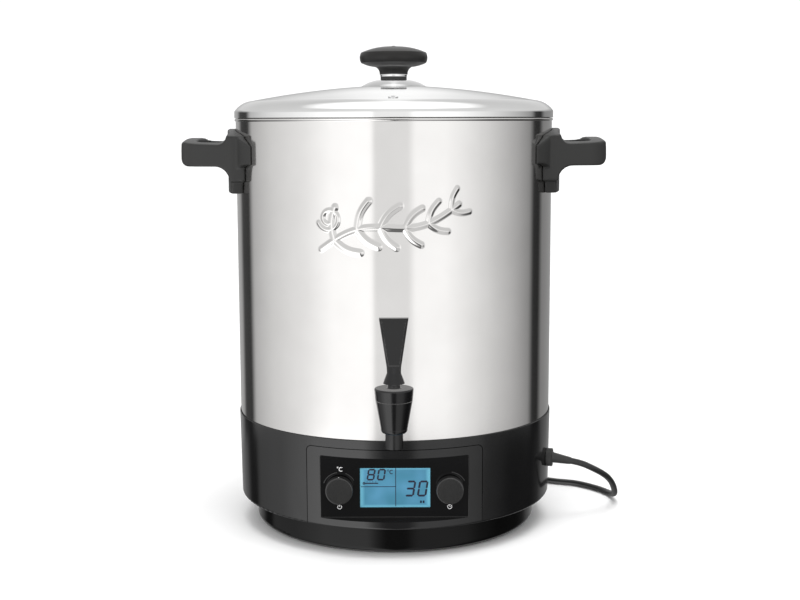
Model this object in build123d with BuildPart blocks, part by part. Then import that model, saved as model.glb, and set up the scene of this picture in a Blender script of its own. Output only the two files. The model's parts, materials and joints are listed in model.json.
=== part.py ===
"""Electric 30 litre all-in-one brewer and preserving boiler: every piece as its own solid.

Millimetres, +Z up. The origin is on the axis of the pot, on the table. The control
panel and the tap face -Y, and the mains cord leaves the base on the +X side.
"""

import os
from math import atan, cos, hypot, pi, radians, sin, tan

from build123d import *

os.makedirs("parts", exist_ok=True)

# ---------------------------------------------------------------- driving dimensions
POT_R = 175.0            # outside radius of the steel pot
WALL = 0.8               # sheet steel
POT_SKIRT_Z = 119.0      # lower edge of the pot, on the deck of the base
FLOOR_Z = 128.0          # wetted face of the pot floor
RIM_Z = 450.0            # top of the rolled rim
RIM_BEAD_R = 1.6

SEAM_Z = 31.0            # lower edge of the base shell
BASE_TOP_Z = 125.0       # top of the base shell's lip
BASE_BOTTOM_R = 174.8
BASE_TOP_R = 176.3
FOOT_R = 157.6
FOOT_RIM_Z = 1.6         # underside of the foot plate's rim
FOOT_FLOOR_Z = 6.0       # underside of the foot plate's floor
PLATE_T = 2.5

BEZEL_HALF_W = 90.7      # bezel of the control panel
BEZEL_TOP_Z = 115.0
BEZEL_BACK_Y = -147.0
BEZEL_CORNER = 5.0
PANEL_GROOVE = 0.7
WINDOW_HALF_W = 77.0
WINDOW_Z0 = 39.5
WINDOW_Z1 = 106.4
WINDOW_Y = -157.0        # front face of the flat window
WINDOW_T = 2.5
LCD_X0, LCD_X1 = -35.7, 36.8
LCD_Z0, LCD_Z1 = 49.9, 91.9
KNOB_X = 57.0
KNOB_Z = 70.4
KNOB_R = 14.2
KNOB_BACK_Y = -159.0
KNOB_FACE_Y = -168.4
SHAFT_R = 3.0
BOARD_Y = -141.5         # front face of the control board
BOARD_T = 1.6

TAP_Y = -208.0           # vertical axis of the tap
TAP_SHANK_Z = 157.0
SPOUT_R = 8.95
SPOUT_Z = 126.0
BONNET_Z0 = 174.0
BONNET_Z1 = 186.6
BONNET_R = 19.5
LEVER_PIN_Z = 195.5
LEVER_CONE_Z = 191.4
LEVER_TOP_Z = 256.0

LID_RIM_R = 176.3
LID_RIM_Z = 450.3        # lower edge of the lid's rim
LID_SHOULDER = (156.8, 469.0)
LID_MID = (82.6, 480.4)
LID_CENTRE_Z = 486.3
VENT_R = 150.0           # distance of the steam vent from the axis

HANDLE_Z0 = 370.0        # foot of the handle's leg
ARM_Z0 = 399.0
ARM_Z1 = 420.6
PLATE_Z1 = 431.0
PLATE_CROWN_Z = 439.0
GRIP_ARCH = 8.4          # rise of the grip's top between its flanks
GRIP_X1 = 230.5           # outer face of the grip
HAND_HOLE_X0 = 178.0
HAND_HOLE_X1 = 213.0
HAND_HOLE_HALF_Y = 55.0
HANDLE_SCREW_ANGLE = 20.0
HANDLE_SCREW_Z = 409.0

RACK_R = 155.0
RACK_Z = 140.0

GLAND_ANGLE = -15.0
GLAND_Z = 74.4
CORD_R = 3.5
COIL_CENTRE = (70.0, 245.0)
COIL_OUTER = 46.0        # radius of the first turn's centre line
COIL_PITCH = 7.2
PLUG_Y = 285.0
PLUG_R = 18.0
PLUG_REAR_X = 18.0
PIN_SPACING = 19.0
PIN_R = 2.4
PIN_LENGTH = 19.0
COIL_H = 14.0
TIE_ANGLE = 215.0
RELIEF_LENGTH = 22.0     # strain relief between gland and cord


def base_radius(z):
    """Outside radius of the slightly tapered base shell at height z."""
    share = (z - SEAM_Z) / (BASE_TOP_Z - SEAM_Z)
    return BASE_BOTTOM_R + (BASE_TOP_R - BASE_BOTTOM_R) * share


def dome_circle():
    """Centre height and radius of the arc of the lid's dome, in the plane of the axis."""
    (x1, z1), (x2, z2), z3 = LID_SHOULDER, LID_MID, LID_CENTRE_Z
    a = 2 * (x1 - x2)
    b = 2 * (z1 - z2)
    c = x1 * x1 + z1 * z1 - x2 * x2 - z2 * z2
    d = -2 * x2
    e = 2 * (z3 - z2)
    f = z3 * z3 - x2 * x2 - z2 * z2
    det = a * e - b * d
    centre_x = (c * e - b * f) / det
    centre_z = (a * f - c * d) / det
    return centre_x, centre_z, hypot(centre_x, z3 - centre_z)


def lid_height(r):
    """Height of the lid's outer face at distance r from the axis."""
    centre_x, centre_z, radius = dome_circle()
    return centre_z + (radius**2 - (r - centre_x) ** 2) ** 0.5


def radial_plane(angle, radius, z):
    """Plane whose normal points straight out from the pot's axis."""
    out = (cos(radians(angle)), sin(radians(angle)), 0)
    side = (-sin(radians(angle)), cos(radians(angle)), 0)
    return Plane(origin=(out[0] * radius, out[1] * radius, z), x_dir=side, z_dir=out)


pieces = {}

# ---------------------------------------------------------------- pot
FLOOR_CORNER = 12.0
corner_x = POT_R - WALL - FLOOR_CORNER
corner_z = FLOOR_Z + FLOOR_CORNER

with BuildPart() as pot_vessel:
    with BuildSketch(Plane.XZ):
        with Locations((POT_R - WALL / 2, (POT_SKIRT_Z + RIM_Z - RIM_BEAD_R) / 2)):
            Rectangle(WALL, RIM_Z - RIM_BEAD_R - POT_SKIRT_Z)
        with Locations((corner_x / 2, FLOOR_Z - WALL / 2)):
            Rectangle(corner_x, WALL)
        with BuildLine():
            inner = CenterArc((corner_x, corner_z), FLOOR_CORNER, -90, 90)
            outer = CenterArc((corner_x, corner_z), FLOOR_CORNER + WALL, -90, 90)
            Line(inner @ 0, outer @ 0)
            Line(inner @ 1, outer @ 1)
        make_face()
        with Locations((POT_R - WALL / 2, RIM_Z - RIM_BEAD_R)):
            Circle(RIM_BEAD_R)
    revolve(axis=Axis.Z)
    with BuildSketch(Plane.XZ.offset(POT_R - 10)):
        with Locations((0, TAP_SHANK_Z)):
            Circle(8.2)
    extrude(amount=20, mode=Mode.SUBTRACT)
    for side in (0, 180):
        for turn in (-HANDLE_SCREW_ANGLE, HANDLE_SCREW_ANGLE):
            with BuildSketch(radial_plane(side + turn, POT_R - 10, HANDLE_SCREW_Z)):
                Circle(2.8)
            extrude(amount=20, mode=Mode.SUBTRACT)
pieces["pot_vessel"] = pot_vessel

# ---------------------------------------------------------------- heating, under the floor
SPREADER_T = 5.0
SPREADER_R = 130.0
under_floor_z = FLOOR_Z - WALL
under_spreader_z = under_floor_z - SPREADER_T
ELEMENT_R = 4.0
ELEMENT_RING_R = 95.0
ELEMENT_GAP_ANGLE = 20.0
element_z = under_spreader_z - ELEMENT_R - 0.1
ELEMENT_LEG_Z = 98.0

with BuildPart() as heat_spreader_disc:
    with BuildSketch(Plane.XY.offset(under_spreader_z)):
        Circle(SPREADER_R)
    extrude(amount=SPREADER_T)
    chamfer(heat_spreader_disc.faces().sort_by(Axis.Z)[0].edges(), length=2)
pieces["heat_spreader_disc"] = heat_spreader_disc

with BuildPart() as heating_element:
    gap = radians(ELEMENT_GAP_ANGLE)
    start_dir = (cos(gap), sin(gap), 0)
    facing = (sin(gap), -cos(gap), 0)
    start = (ELEMENT_RING_R * cos(gap), ELEMENT_RING_R * sin(gap), element_z)
    with BuildSketch(Plane(origin=start, x_dir=start_dir, z_dir=facing)):
        Circle(ELEMENT_R)
    revolve(axis=Axis.Z, revolution_arc=360 - 2 * ELEMENT_GAP_ANGLE)
    for turn in (ELEMENT_GAP_ANGLE, -ELEMENT_GAP_ANGLE):
        x = ELEMENT_RING_R * cos(radians(turn))
        y = ELEMENT_RING_R * sin(radians(turn))
        with Locations((x, y, element_z)):
            Sphere(ELEMENT_R)
        with Locations((x, y, (element_z + ELEMENT_LEG_Z) / 2)):
            Cylinder(ELEMENT_R, element_z - ELEMENT_LEG_Z)
pieces["heating_element"] = heating_element

with BuildPart() as element_terminals:
    for turn in (ELEMENT_GAP_ANGLE, -ELEMENT_GAP_ANGLE):
        x = ELEMENT_RING_R * cos(radians(turn))
        y = ELEMENT_RING_R * sin(radians(turn))
        with Locations((x, y, ELEMENT_LEG_Z - 4)):
            Cylinder(1.6, 8)
        with Locations((x, y, ELEMENT_LEG_Z - 13)):
            Box(0.8, 6.3, 10)
pieces["element_terminals"] = element_terminals

with BuildPart() as ntc_sensor:
    with BuildSketch(Plane.XY.offset(under_spreader_z)):
        Circle(4)
    extrude(amount=-10)
    with BuildSketch(Plane.XY.offset(under_spreader_z)):
        RectangleRounded(26, 10, 3)
    extrude(amount=-1.5)
pieces["ntc_sensor"] = ntc_sensor

with BuildPart() as thermal_cutout:
    with Locations((45, -35, under_spreader_z - 3.5)):
        Cylinder(8.5, 7)
    with Locations((45, -35, under_spreader_z - 0.5)):
        Box(30, 12, 1)
    for dx in (-4, 4):
        with Locations((45 + dx, -35, under_spreader_z - 11)):
            Box(0.8, 6.3, 8)
pieces["thermal_cutout"] = thermal_cutout

with BuildPart() as earth_screw:
    with Locations((-60, -50, under_spreader_z - 5)):
        Cylinder(2, 10)
    with BuildSketch(Plane.XY.offset(under_spreader_z - 7)):
        with Locations((-60, -50)):
            RegularPolygon(radius=4, side_count=6)
    extrude(amount=-3)
pieces["earth_screw"] = earth_screw

# ---------------------------------------------------------------- base shell and foot
SHELL_T = 3.0
SHELL_EDGE = 3.0
DECK_R = 140.0
BOSS_CIRCLE_R = 132.0
BOSS_R = 5.0
BOSS_COUNT = 6
boss_foot_z = FOOT_FLOOR_Z + PLATE_T
shell_corner_r = base_radius(SEAM_Z + SHELL_EDGE)

with BuildPart() as base_shell:
    with BuildSketch(Plane.XZ):
        with BuildLine():
            edge_arc = CenterArc((shell_corner_r - SHELL_EDGE, SEAM_Z + SHELL_EDGE), SHELL_EDGE, -90, 90)
            Line(edge_arc @ 1, (BASE_TOP_R, BASE_TOP_Z - 0.5))
            Polyline(
                (BASE_TOP_R, BASE_TOP_Z - 0.5),
                (BASE_TOP_R - 0.3, BASE_TOP_Z),
                (POT_R + 0.7, BASE_TOP_Z),
                (POT_R + 0.5, BASE_TOP_Z - 2),
                (POT_R + 0.1, BASE_TOP_Z - 2.5),
                (POT_R + 0.1, POT_SKIRT_Z),
                (DECK_R, POT_SKIRT_Z),
                (DECK_R, POT_SKIRT_Z - SHELL_T),
                (base_radius(POT_SKIRT_Z) - SHELL_T, POT_SKIRT_Z - SHELL_T),
                (shell_corner_r - SHELL_T, SEAM_Z + SHELL_T),
                (FOOT_R + 0.2, SEAM_Z + SHELL_T),
                (FOOT_R + 0.2, SEAM_Z),
            )
            Line((FOOT_R + 0.2, SEAM_Z), edge_arc @ 0)
        make_face()
    revolve(axis=Axis.Z)
    with BuildSketch(Plane.XY.offset(boss_foot_z)):
        with PolarLocations(BOSS_CIRCLE_R, BOSS_COUNT):
            Circle(BOSS_R)
    extrude(amount=POT_SKIRT_Z - SHELL_T - boss_foot_z)
    with BuildSketch(Plane.XY.offset(POT_SKIRT_Z - SHELL_T)):
        with PolarLocations((BOSS_CIRCLE_R + DECK_R) / 2 + 1, BOSS_COUNT):
            Rectangle(18, 2 * BOSS_R)
    extrude(amount=SHELL_T)
    with BuildSketch(Plane.XY.offset(boss_foot_z)):
        with PolarLocations(BOSS_CIRCLE_R, BOSS_COUNT):
            Circle(1.5)
    extrude(amount=16, mode=Mode.SUBTRACT)
    cut_top = BEZEL_TOP_Z + PANEL_GROOVE
    with BuildSketch(Plane.XZ.offset(-BEZEL_BACK_Y - 1)):
        with Locations((0, (cut_top + SEAM_Z - 10) / 2)):
            RectangleRounded(
                2 * (BEZEL_HALF_W + PANEL_GROOVE), cut_top - SEAM_Z + 10, BEZEL_CORNER + PANEL_GROOVE
            )
    extrude(amount=40, mode=Mode.SUBTRACT)
    with BuildSketch(radial_plane(GLAND_ANGLE, BASE_BOTTOM_R - 10, GLAND_Z)):
        Circle(7.1)
    extrude(amount=20, mode=Mode.SUBTRACT)
pieces["base_shell"] = base_shell

with BuildPart() as foot_plate:
    with BuildSketch(Plane.XZ):
        with BuildLine():
            Line((FOOT_R, SEAM_Z + 5), (FOOT_R, FOOT_RIM_Z + 6))
            toe = ThreePointArc(
                (FOOT_R, FOOT_RIM_Z + 6),
                (FOOT_R - 1.8, FOOT_RIM_Z + 1.8),
                (FOOT_R - 6, FOOT_RIM_Z),
            )
            Polyline(
                toe @ 1,
                (143.5, FOOT_RIM_Z),
                (140.5, FOOT_FLOOR_Z),
                (0, FOOT_FLOOR_Z),
                (0, FOOT_FLOOR_Z + PLATE_T),
                (142, FOOT_FLOOR_Z + PLATE_T),
                (145, FOOT_RIM_Z + PLATE_T),
                (FOOT_R - 6.2, FOOT_RIM_Z + PLATE_T),
                (FOOT_R - PLATE_T, FOOT_RIM_Z + 6.2),
                (FOOT_R - PLATE_T, SEAM_Z + 5),
                (FOOT_R, SEAM_Z + 5),
            )
        make_face()
    revolve(axis=Axis.Z)
    with BuildSketch(Plane.XY.offset(FOOT_FLOOR_Z)):
        with PolarLocations(BOSS_CIRCLE_R, BOSS_COUNT):
            Circle(2.1)
        for ring_r, count in ((40, 12), (75, 20)):
            with PolarLocations(ring_r, count):
                SlotOverall(22, 4)
    extrude(amount=PLATE_T, mode=Mode.SUBTRACT)
    with BuildSketch(Plane.XY.offset(FOOT_FLOOR_Z + PLATE_T)):
        with Locations((-10, 60)):
            with GridLocations(92, 66, 2, 2):
                Circle(3)
    extrude(amount=7)
pieces["foot_plate"] = foot_plate

with BuildPart() as rubber_foot_ring:
    with BuildSketch():
        Circle(FOOT_R - 6.6)
        Circle(144.2, mode=Mode.SUBTRACT)
    extrude(amount=FOOT_RIM_Z)
pieces["rubber_foot_ring"] = rubber_foot_ring

with BuildPart() as bottom_screws:
    with BuildSketch(Plane.XY.offset(FOOT_FLOOR_Z)):
        with PolarLocations(BOSS_CIRCLE_R, BOSS_COUNT):
            Circle(3.6)
    extrude(amount=-2.2)
    with BuildSketch(Plane.XY.offset(FOOT_FLOOR_Z)):
        with PolarLocations(BOSS_CIRCLE_R, BOSS_COUNT):
            Circle(1.48)
    extrude(amount=16)
    with BuildSketch(Plane.XY.offset(FOOT_FLOOR_Z - 2.2)):
        with PolarLocations(BOSS_CIRCLE_R, BOSS_COUNT):
            Rectangle(4.4, 0.8)
            Rectangle(0.8, 4.4)
    extrude(amount=1.2, mode=Mode.SUBTRACT)
pieces["bottom_screws"] = bottom_screws

# ---------------------------------------------------------------- control panel
with BuildPart() as panel_bezel:
    with BuildSketch(Plane.XZ):
        with BuildLine():
            edge_arc = CenterArc((shell_corner_r - SHELL_EDGE, SEAM_Z + SHELL_EDGE), SHELL_EDGE, -90, 90)
            Polyline(
                edge_arc @ 1,
                (base_radius(BEZEL_TOP_Z), BEZEL_TOP_Z),
                (120, BEZEL_TOP_Z),
                (120, SEAM_Z),
                edge_arc @ 0,
            )
        make_face()
    revolve(axis=Axis.Z)
    with BuildSketch(Plane.XZ.offset(-BEZEL_BACK_Y)):
        with Locations((0, (BEZEL_TOP_Z + SEAM_Z - 10) / 2)):
            RectangleRounded(2 * BEZEL_HALF_W, BEZEL_TOP_Z - SEAM_Z + 10, BEZEL_CORNER)
    extrude(amount=40, mode=Mode.INTERSECT)
    with BuildSketch(Plane.XZ.offset(-BEZEL_BACK_Y)):
        with Locations((0, (WINDOW_Z0 + WINDOW_Z1) / 2)):
            RectangleRounded(2 * WINDOW_HALF_W, WINDOW_Z1 - WINDOW_Z0, 2)
    extrude(amount=40, mode=Mode.SUBTRACT)
    with BuildSketch(Plane.XY.offset(SEAM_Z - 1)):
        Circle(FOOT_R + 0.2)
    extrude(amount=6.2, mode=Mode.SUBTRACT)
    with BuildSketch(Plane.XZ.offset(-BEZEL_BACK_Y)):
        with Locations((0, (WINDOW_Z0 + WINDOW_Z1) / 2)):
            with GridLocations(166, 60, 2, 2):
                Circle(3.6)
    extrude(amount=BEZEL_BACK_Y - BOARD_Y)
    with BuildSketch(Plane.XZ.offset(-BOARD_Y)):
        with Locations((0, (WINDOW_Z0 + WINDOW_Z1) / 2)):
            with GridLocations(166, 60, 2, 2):
                Circle(1.3)
    extrude(amount=8, mode=Mode.SUBTRACT)
pieces["panel_bezel"] = panel_bezel

with BuildPart() as panel_window:
    with BuildSketch(Plane.XZ.offset(-WINDOW_Y - WINDOW_T)):
        with Locations((0, (WINDOW_Z0 + WINDOW_Z1) / 2)):
            RectangleRounded(2 * WINDOW_HALF_W - 0.3, WINDOW_Z1 - WINDOW_Z0 - 0.3, 2)
        with Locations(((LCD_X0 + LCD_X1) / 2, (LCD_Z0 + LCD_Z1) / 2)):
            Rectangle(LCD_X1 - LCD_X0, LCD_Z1 - LCD_Z0, mode=Mode.SUBTRACT)
        with Locations((-KNOB_X, KNOB_Z), (KNOB_X, KNOB_Z)):
            Circle(3.7, mode=Mode.SUBTRACT)
    extrude(amount=WINDOW_T)
pieces["panel_window"] = panel_window

lcd_x = (LCD_X0 + LCD_X1) / 2
lcd_z = (LCD_Z0 + LCD_Z1) / 2
glass_back_y = WINDOW_Y + WINDOW_T + 1.2
MODULE_T = 8.0

with BuildPart() as lcd_glass:
    with Locations((lcd_x, glass_back_y - 0.6, lcd_z)):
        Box(80, 1.2, 48)
pieces["lcd_glass"] = lcd_glass

with BuildPart() as lcd_module:
    with Locations((lcd_x, glass_back_y + MODULE_T / 2, lcd_z)):
        Box(84, MODULE_T, 52)
    for z in (lcd_z - 24, lcd_z + 24):
        with Locations((lcd_x, (glass_back_y + MODULE_T + BOARD_Y) / 2, z)):
            Box(60, BOARD_Y - glass_back_y - MODULE_T, 2.5)
pieces["lcd_module"] = lcd_module

with BuildPart() as control_board:
    with BuildSketch(Plane.XZ.offset(-BOARD_Y)):
        with Locations((0, (WINDOW_Z0 + WINDOW_Z1) / 2)):
            Rectangle(178, 72)
            with GridLocations(166, 60, 2, 2):
                Circle(1.6, mode=Mode.SUBTRACT)
    extrude(amount=-BOARD_T)
    for x, z, w, h in ((-30, 80, 14, 14), (10, 85, 10, 7), (35, 60, 12, 5), (0, 46, 24, 7)):
        with Locations((x, BOARD_Y + BOARD_T + 1.2, z)):
            Box(w, 2.4, h)
pieces["control_board"] = control_board

with BuildPart() as panel_screws:
    with BuildSketch(Plane.XZ.offset(-BOARD_Y - BOARD_T)):
        with Locations((0, (WINDOW_Z0 + WINDOW_Z1) / 2)):
            with GridLocations(166, 60, 2, 2):
                Circle(2.8)
    extrude(amount=-2)
    with BuildSketch(Plane.XZ.offset(-BOARD_Y - BOARD_T)):
        with Locations((0, (WINDOW_Z0 + WINDOW_Z1) / 2)):
            with GridLocations(166, 60, 2, 2):
                Circle(1.28)
    extrude(amount=8)
pieces["panel_screws"] = panel_screws

# Each knob sits on a push-and-turn encoder: body, spring-loaded plunger and shaft.
ENCODER_FRONT_Y = -148.5
BUSH_FRONT_Y = -156.4
SHAFT_BACK_Y = -147.0
PLUNGER_FRONT_Y = -146.7
CAVITY_FRONT_Y = -147.8
CAVITY_BACK_Y = -142.6

for name, x in (("temp", -KNOB_X), ("timer", KNOB_X)):
    with BuildPart() as encoder_body:
        with BuildSketch(Plane.XZ.offset(-BOARD_Y)):
            with Locations((x, KNOB_Z)):
                Rectangle(13, 13.5)
        extrude(amount=BOARD_Y - ENCODER_FRONT_Y)
        with BuildSketch(Plane.XZ.offset(-ENCODER_FRONT_Y)):
            with Locations((x, KNOB_Z)):
                Circle(3.5)
        extrude(amount=ENCODER_FRONT_Y - BUSH_FRONT_Y)
        with BuildSketch(Plane.XZ.offset(-CAVITY_BACK_Y)):
            with Locations((x, KNOB_Z)):
                Circle(4.6)
        extrude(amount=CAVITY_BACK_Y - CAVITY_FRONT_Y, mode=Mode.SUBTRACT)
        with BuildSketch(Plane.XZ.offset(-CAVITY_FRONT_Y)):
            with Locations((x, KNOB_Z)):
                Circle(SHAFT_R + 0.05)
        extrude(amount=20, mode=Mode.SUBTRACT)
    pieces[name + "_encoder_body"] = encoder_body

    with BuildPart() as encoder_plunger:
        with BuildSketch(Plane.XZ.offset(-PLUNGER_FRONT_Y)):
            with Locations((x, KNOB_Z)):
                Circle(4.2)
        extrude(amount=-1.2)
    pieces[name + "_encoder_plunger"] = encoder_plunger

    with BuildPart() as shaft:
        with BuildSketch(Plane.XZ.offset(-SHAFT_BACK_Y)):
            with Locations((x, KNOB_Z)):
                Circle(SHAFT_R)
        extrude(amount=SHAFT_BACK_Y - KNOB_FACE_Y - 3)
    pieces[name + "_shaft"] = shaft

    with BuildPart() as knob:
        with BuildSketch(Plane.XZ.offset(-KNOB_BACK_Y)):
            with Locations((x, KNOB_Z)):
                Circle(KNOB_R)
        extrude(amount=KNOB_BACK_Y - KNOB_FACE_Y)
        chamfer(knob.faces().sort_by(Axis.Y)[0].edges(), length=0.7)
        with BuildSketch(Plane.XZ.offset(-KNOB_BACK_Y)):
            with Locations((x, KNOB_Z)):
                Circle(KNOB_R - 1.8)
                Circle(5.2, mode=Mode.SUBTRACT)
        extrude(amount=6.5, mode=Mode.SUBTRACT)
        with BuildSketch(Plane.XZ.offset(-KNOB_BACK_Y)):
            with Locations((x, KNOB_Z)):
                Circle(SHAFT_R)
        extrude(amount=KNOB_BACK_Y - KNOB_FACE_Y - 3, mode=Mode.SUBTRACT)
    pieces[name + "_knob"] = knob

# ---------------------------------------------------------------- power electronics
POWER_Z = FOOT_FLOOR_Z + PLATE_T + 7
power_top_z = POWER_Z + 1.6

with BuildPart() as power_board:
    with Locations((-10, 60, POWER_Z + 0.8)):
        Box(104, 78, 1.6)
pieces["power_board"] = power_board

with BuildPart() as power_board_components:
    relays = [(-40, 80, 29, 13, 16), (-40, 60, 29, 13, 16)]
    transformer = (0, 75, 30, 26, 22)
    fuse_holder = (28, 45, 8, 18, 10)
    for x, y, w, d, h in (*relays, transformer, fuse_holder):
        with Locations((x, y, power_top_z + h / 2)):
            Box(w, d, h)
    for x, y, r, h in ((-8, 40, 8, 20), (14, 42, 5, 12)):
        with Locations((x, y, power_top_z + h / 2)):
            Cylinder(r, h)
pieces["power_board_components"] = power_board_components

with BuildPart() as terminal_block:
    with Locations((108, -26, boss_foot_z + 9)):
        Box(20, 34, 18)
    with BuildSketch(Plane.XY.offset(boss_foot_z + 18)):
        with Locations((108, -26)):
            with GridLocations(1, 10, 1, 3):
                Circle(2.6)
    extrude(amount=-8, mode=Mode.SUBTRACT)
pieces["terminal_block"] = terminal_block


def wire_radii(points):
    """Largest tangent arc at each corner: 0.45 of the shorter run over tan of half the turn."""
    radii = []
    for a, b, c in zip(points, points[1:], points[2:]):
        run_in = Vector(*b) - Vector(*a)
        run_out = Vector(*c) - Vector(*b)
        half_turn = radians(run_in.get_angle(run_out)) / 2
        radii.append(0.45 * min(run_in.length, run_out.length) / tan(half_turn))
    return radii


with BuildPart() as internal_leads:
    for step in (-1, 0, 1):
        # supply leads, from the gland to the terminal block
        y = -26 + 10 * step
        route = [(156, -42 + 3 * step, GLAND_Z), (143, -38 + 4 * step, GLAND_Z - 4)]
        route += [(122, -30 + 8 * step, 60), (108, y, 44), (108, y, boss_foot_z + 11)]
        with BuildLine() as lead_path:
            FilletPolyline(*route, radius=wire_radii(route))
        with BuildSketch(Plane(origin=lead_path.line @ 0, z_dir=lead_path.line % 0)):
            Circle(1.3)
        sweep(path=lead_path.line)
    for side in (-1, 1):
        # heater leads, from the power board to the element
        y = side * ELEMENT_RING_R * sin(radians(ELEMENT_GAP_ANGLE))
        x = ELEMENT_RING_R * cos(radians(ELEMENT_GAP_ANGLE))
        route = [(34, 58 + 8 * side, power_top_z), (34, 58 + 8 * side, 38)]
        route += [(52, 46 + 8 * side, 58), (x - 12, y + 8, 66), (x, y, 76), (x, y, ELEMENT_LEG_Z - 19)]
        with BuildLine() as lead_path:
            FilletPolyline(*route, radius=wire_radii(route))
        with BuildSketch(Plane(origin=lead_path.line @ 0, z_dir=lead_path.line % 0)):
            Circle(1.3)
        sweep(path=lead_path.line)
pieces["internal_leads"] = internal_leads

with BuildPart() as ribbon_cable:
    ribbon_route = [(-30, BOARD_Y + 4.1, 46), (-30, -118, 46), (-30, -96, 30)]
    ribbon_route += [(-30, 26, 30), (-30, 26, power_top_z)]
    with BuildLine() as ribbon_path:
        FilletPolyline(*ribbon_route, radius=[12, 16, 8])
    with BuildSketch(Plane(origin=ribbon_path.line @ 0, x_dir=(1, 0, 0), z_dir=ribbon_path.line % 0)):
        Rectangle(20, 0.9)
    sweep(path=ribbon_path.line)
pieces["ribbon_cable"] = ribbon_cable

# ---------------------------------------------------------------- handles
with BuildPart() as handle_plate:
    with BuildSketch(Plane.YZ):
        with BuildLine():
            crown = ThreePointArc((75, PLATE_Z1), (0, PLATE_CROWN_Z), (-75, PLATE_Z1))
            for side in (-1, 1):
                hip = ThreePointArc((72 * side, 388), (76 * side, 397), (84 * side, 400.5))
                Polyline(hip @ 1, (92 * side, 401), (92 * side, 421), (75 * side, PLATE_Z1))
                Line(hip @ 0, (68 * side, HANDLE_Z0))
            Line((-68, HANDLE_Z0), (68, HANDLE_Z0))
        make_face()
    extrude(amount=200)
    # the plate's front swells a little at the middle and wraps the pot at its wings
    with BuildSketch(Plane.XY.offset(HANDLE_Z0 - 10)):
        with Locations((71.4, 0)):
            Circle(121.4)
        Rectangle(400, 150, mode=Mode.SUBTRACT)
        with BuildLine():
            ThreePointArc((172, -75), (183.4, 0), (172, 75))
            Polyline((172, 75), (100, 75), (100, -75), (172, -75))
        make_face()
    extrude(amount=100, mode=Mode.INTERSECT)

with BuildPart() as right_handle:
    for y, rise in ((-80, 0), (0, GRIP_ARCH), (80, 0)):
        top = ARM_Z1 + rise
        with BuildSketch(Plane.XZ.offset(-y)):
            with BuildLine():
                Line((150, 383), (175, 383))
                ThreePointArc((175, 383), (179.7, 394.3), (191, ARM_Z0))
                Line((191, ARM_Z0), (GRIP_X1 - 10, ARM_Z0))
                ThreePointArc(
                    (GRIP_X1 - 10, ARM_Z0), (GRIP_X1 - 2.9, ARM_Z0 + 2.9), (GRIP_X1, ARM_Z0 + 10)
                )
                Line((GRIP_X1, ARM_Z0 + 10), (GRIP_X1 - 1, top - 4))
                ThreePointArc((GRIP_X1 - 1, top - 4), (GRIP_X1 - 2.2, top - 1.2), (GRIP_X1 - 5, top))
                Line((GRIP_X1 - 5, top), (188, top))
                ThreePointArc((188, top), (180.9, top + 2.9), (178, top + 10))
                Polyline((178, top + 10), (150, top + 10), (150, 383))
            make_face()
    loft()
    with BuildSketch(Plane.XY.offset(HANDLE_Z0)):
        with BuildLine():
            FilletPolyline(
                (150, -77), (172, -75.2), (GRIP_X1, -62), (GRIP_X1, 62), (172, 75.2), (150, 77),
                radius=[20, 26, 26, 20],
            )
            Line((150, 77), (150, -77))
        make_face()
    extrude(amount=100, mode=Mode.INTERSECT)
    with BuildSketch(Plane.XY.offset(HANDLE_Z0)):
        with Locations(((HAND_HOLE_X0 + HAND_HOLE_X1) / 2 - 10, 0)):
            RectangleRounded(HAND_HOLE_X1 - HAND_HOLE_X0 + 20, 2 * HAND_HOLE_HALF_Y, 12)
    extrude(amount=100, mode=Mode.SUBTRACT)
    add(handle_plate.part)
    with BuildSketch(Plane.XY.offset(HANDLE_Z0 - 5)):
        Circle(POT_R + 0.1)
    extrude(amount=100, mode=Mode.SUBTRACT)
    for turn in (-HANDLE_SCREW_ANGLE, HANDLE_SCREW_ANGLE):
        with BuildSketch(radial_plane(turn, POT_R - 5, HANDLE_SCREW_Z)):
            Circle(2.52)
        extrude(amount=23, mode=Mode.SUBTRACT)
pieces["right_handle"] = right_handle

with BuildPart() as left_handle:
    mirror(right_handle.part, about=Plane.YZ)
pieces["left_handle"] = left_handle

with BuildPart() as handle_washers:
    for side in (0, 180):
        for turn in (-HANDLE_SCREW_ANGLE, HANDLE_SCREW_ANGLE):
            with BuildSketch(radial_plane(side + turn, POT_R - WALL - 0.2, HANDLE_SCREW_Z)):
                Circle(6.5)
                Circle(2.7, mode=Mode.SUBTRACT)
            extrude(amount=-1.2)
pieces["handle_washers"] = handle_washers

with BuildPart() as handle_screws:
    for side in (0, 180):
        for turn in (-HANDLE_SCREW_ANGLE, HANDLE_SCREW_ANGLE):
            with BuildSketch(radial_plane(side + turn, POT_R - WALL - 1.4, HANDLE_SCREW_Z)):
                Circle(4.6)
            extrude(amount=-2.6)
            with BuildSketch(radial_plane(side + turn, POT_R - WALL - 1.4, HANDLE_SCREW_Z)):
                Circle(2.5)
            extrude(amount=16)
            with BuildSketch(radial_plane(side + turn, POT_R - WALL - 4, HANDLE_SCREW_Z)):
                Rectangle(5.4, 0.9)
                Rectangle(0.9, 5.4)
            extrude(amount=1.4, mode=Mode.SUBTRACT)
pieces["handle_screws"] = handle_screws

# ---------------------------------------------------------------- tap
SHANK_R = 8.0
SHANK_BORE_R = 5.5
shank_flange_y = -POT_R - 2.2
TAP_AXIS = Axis((0, TAP_Y, 0), (0, 0, 1))
tap_plane = Plane.XZ.offset(-TAP_Y)

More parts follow.
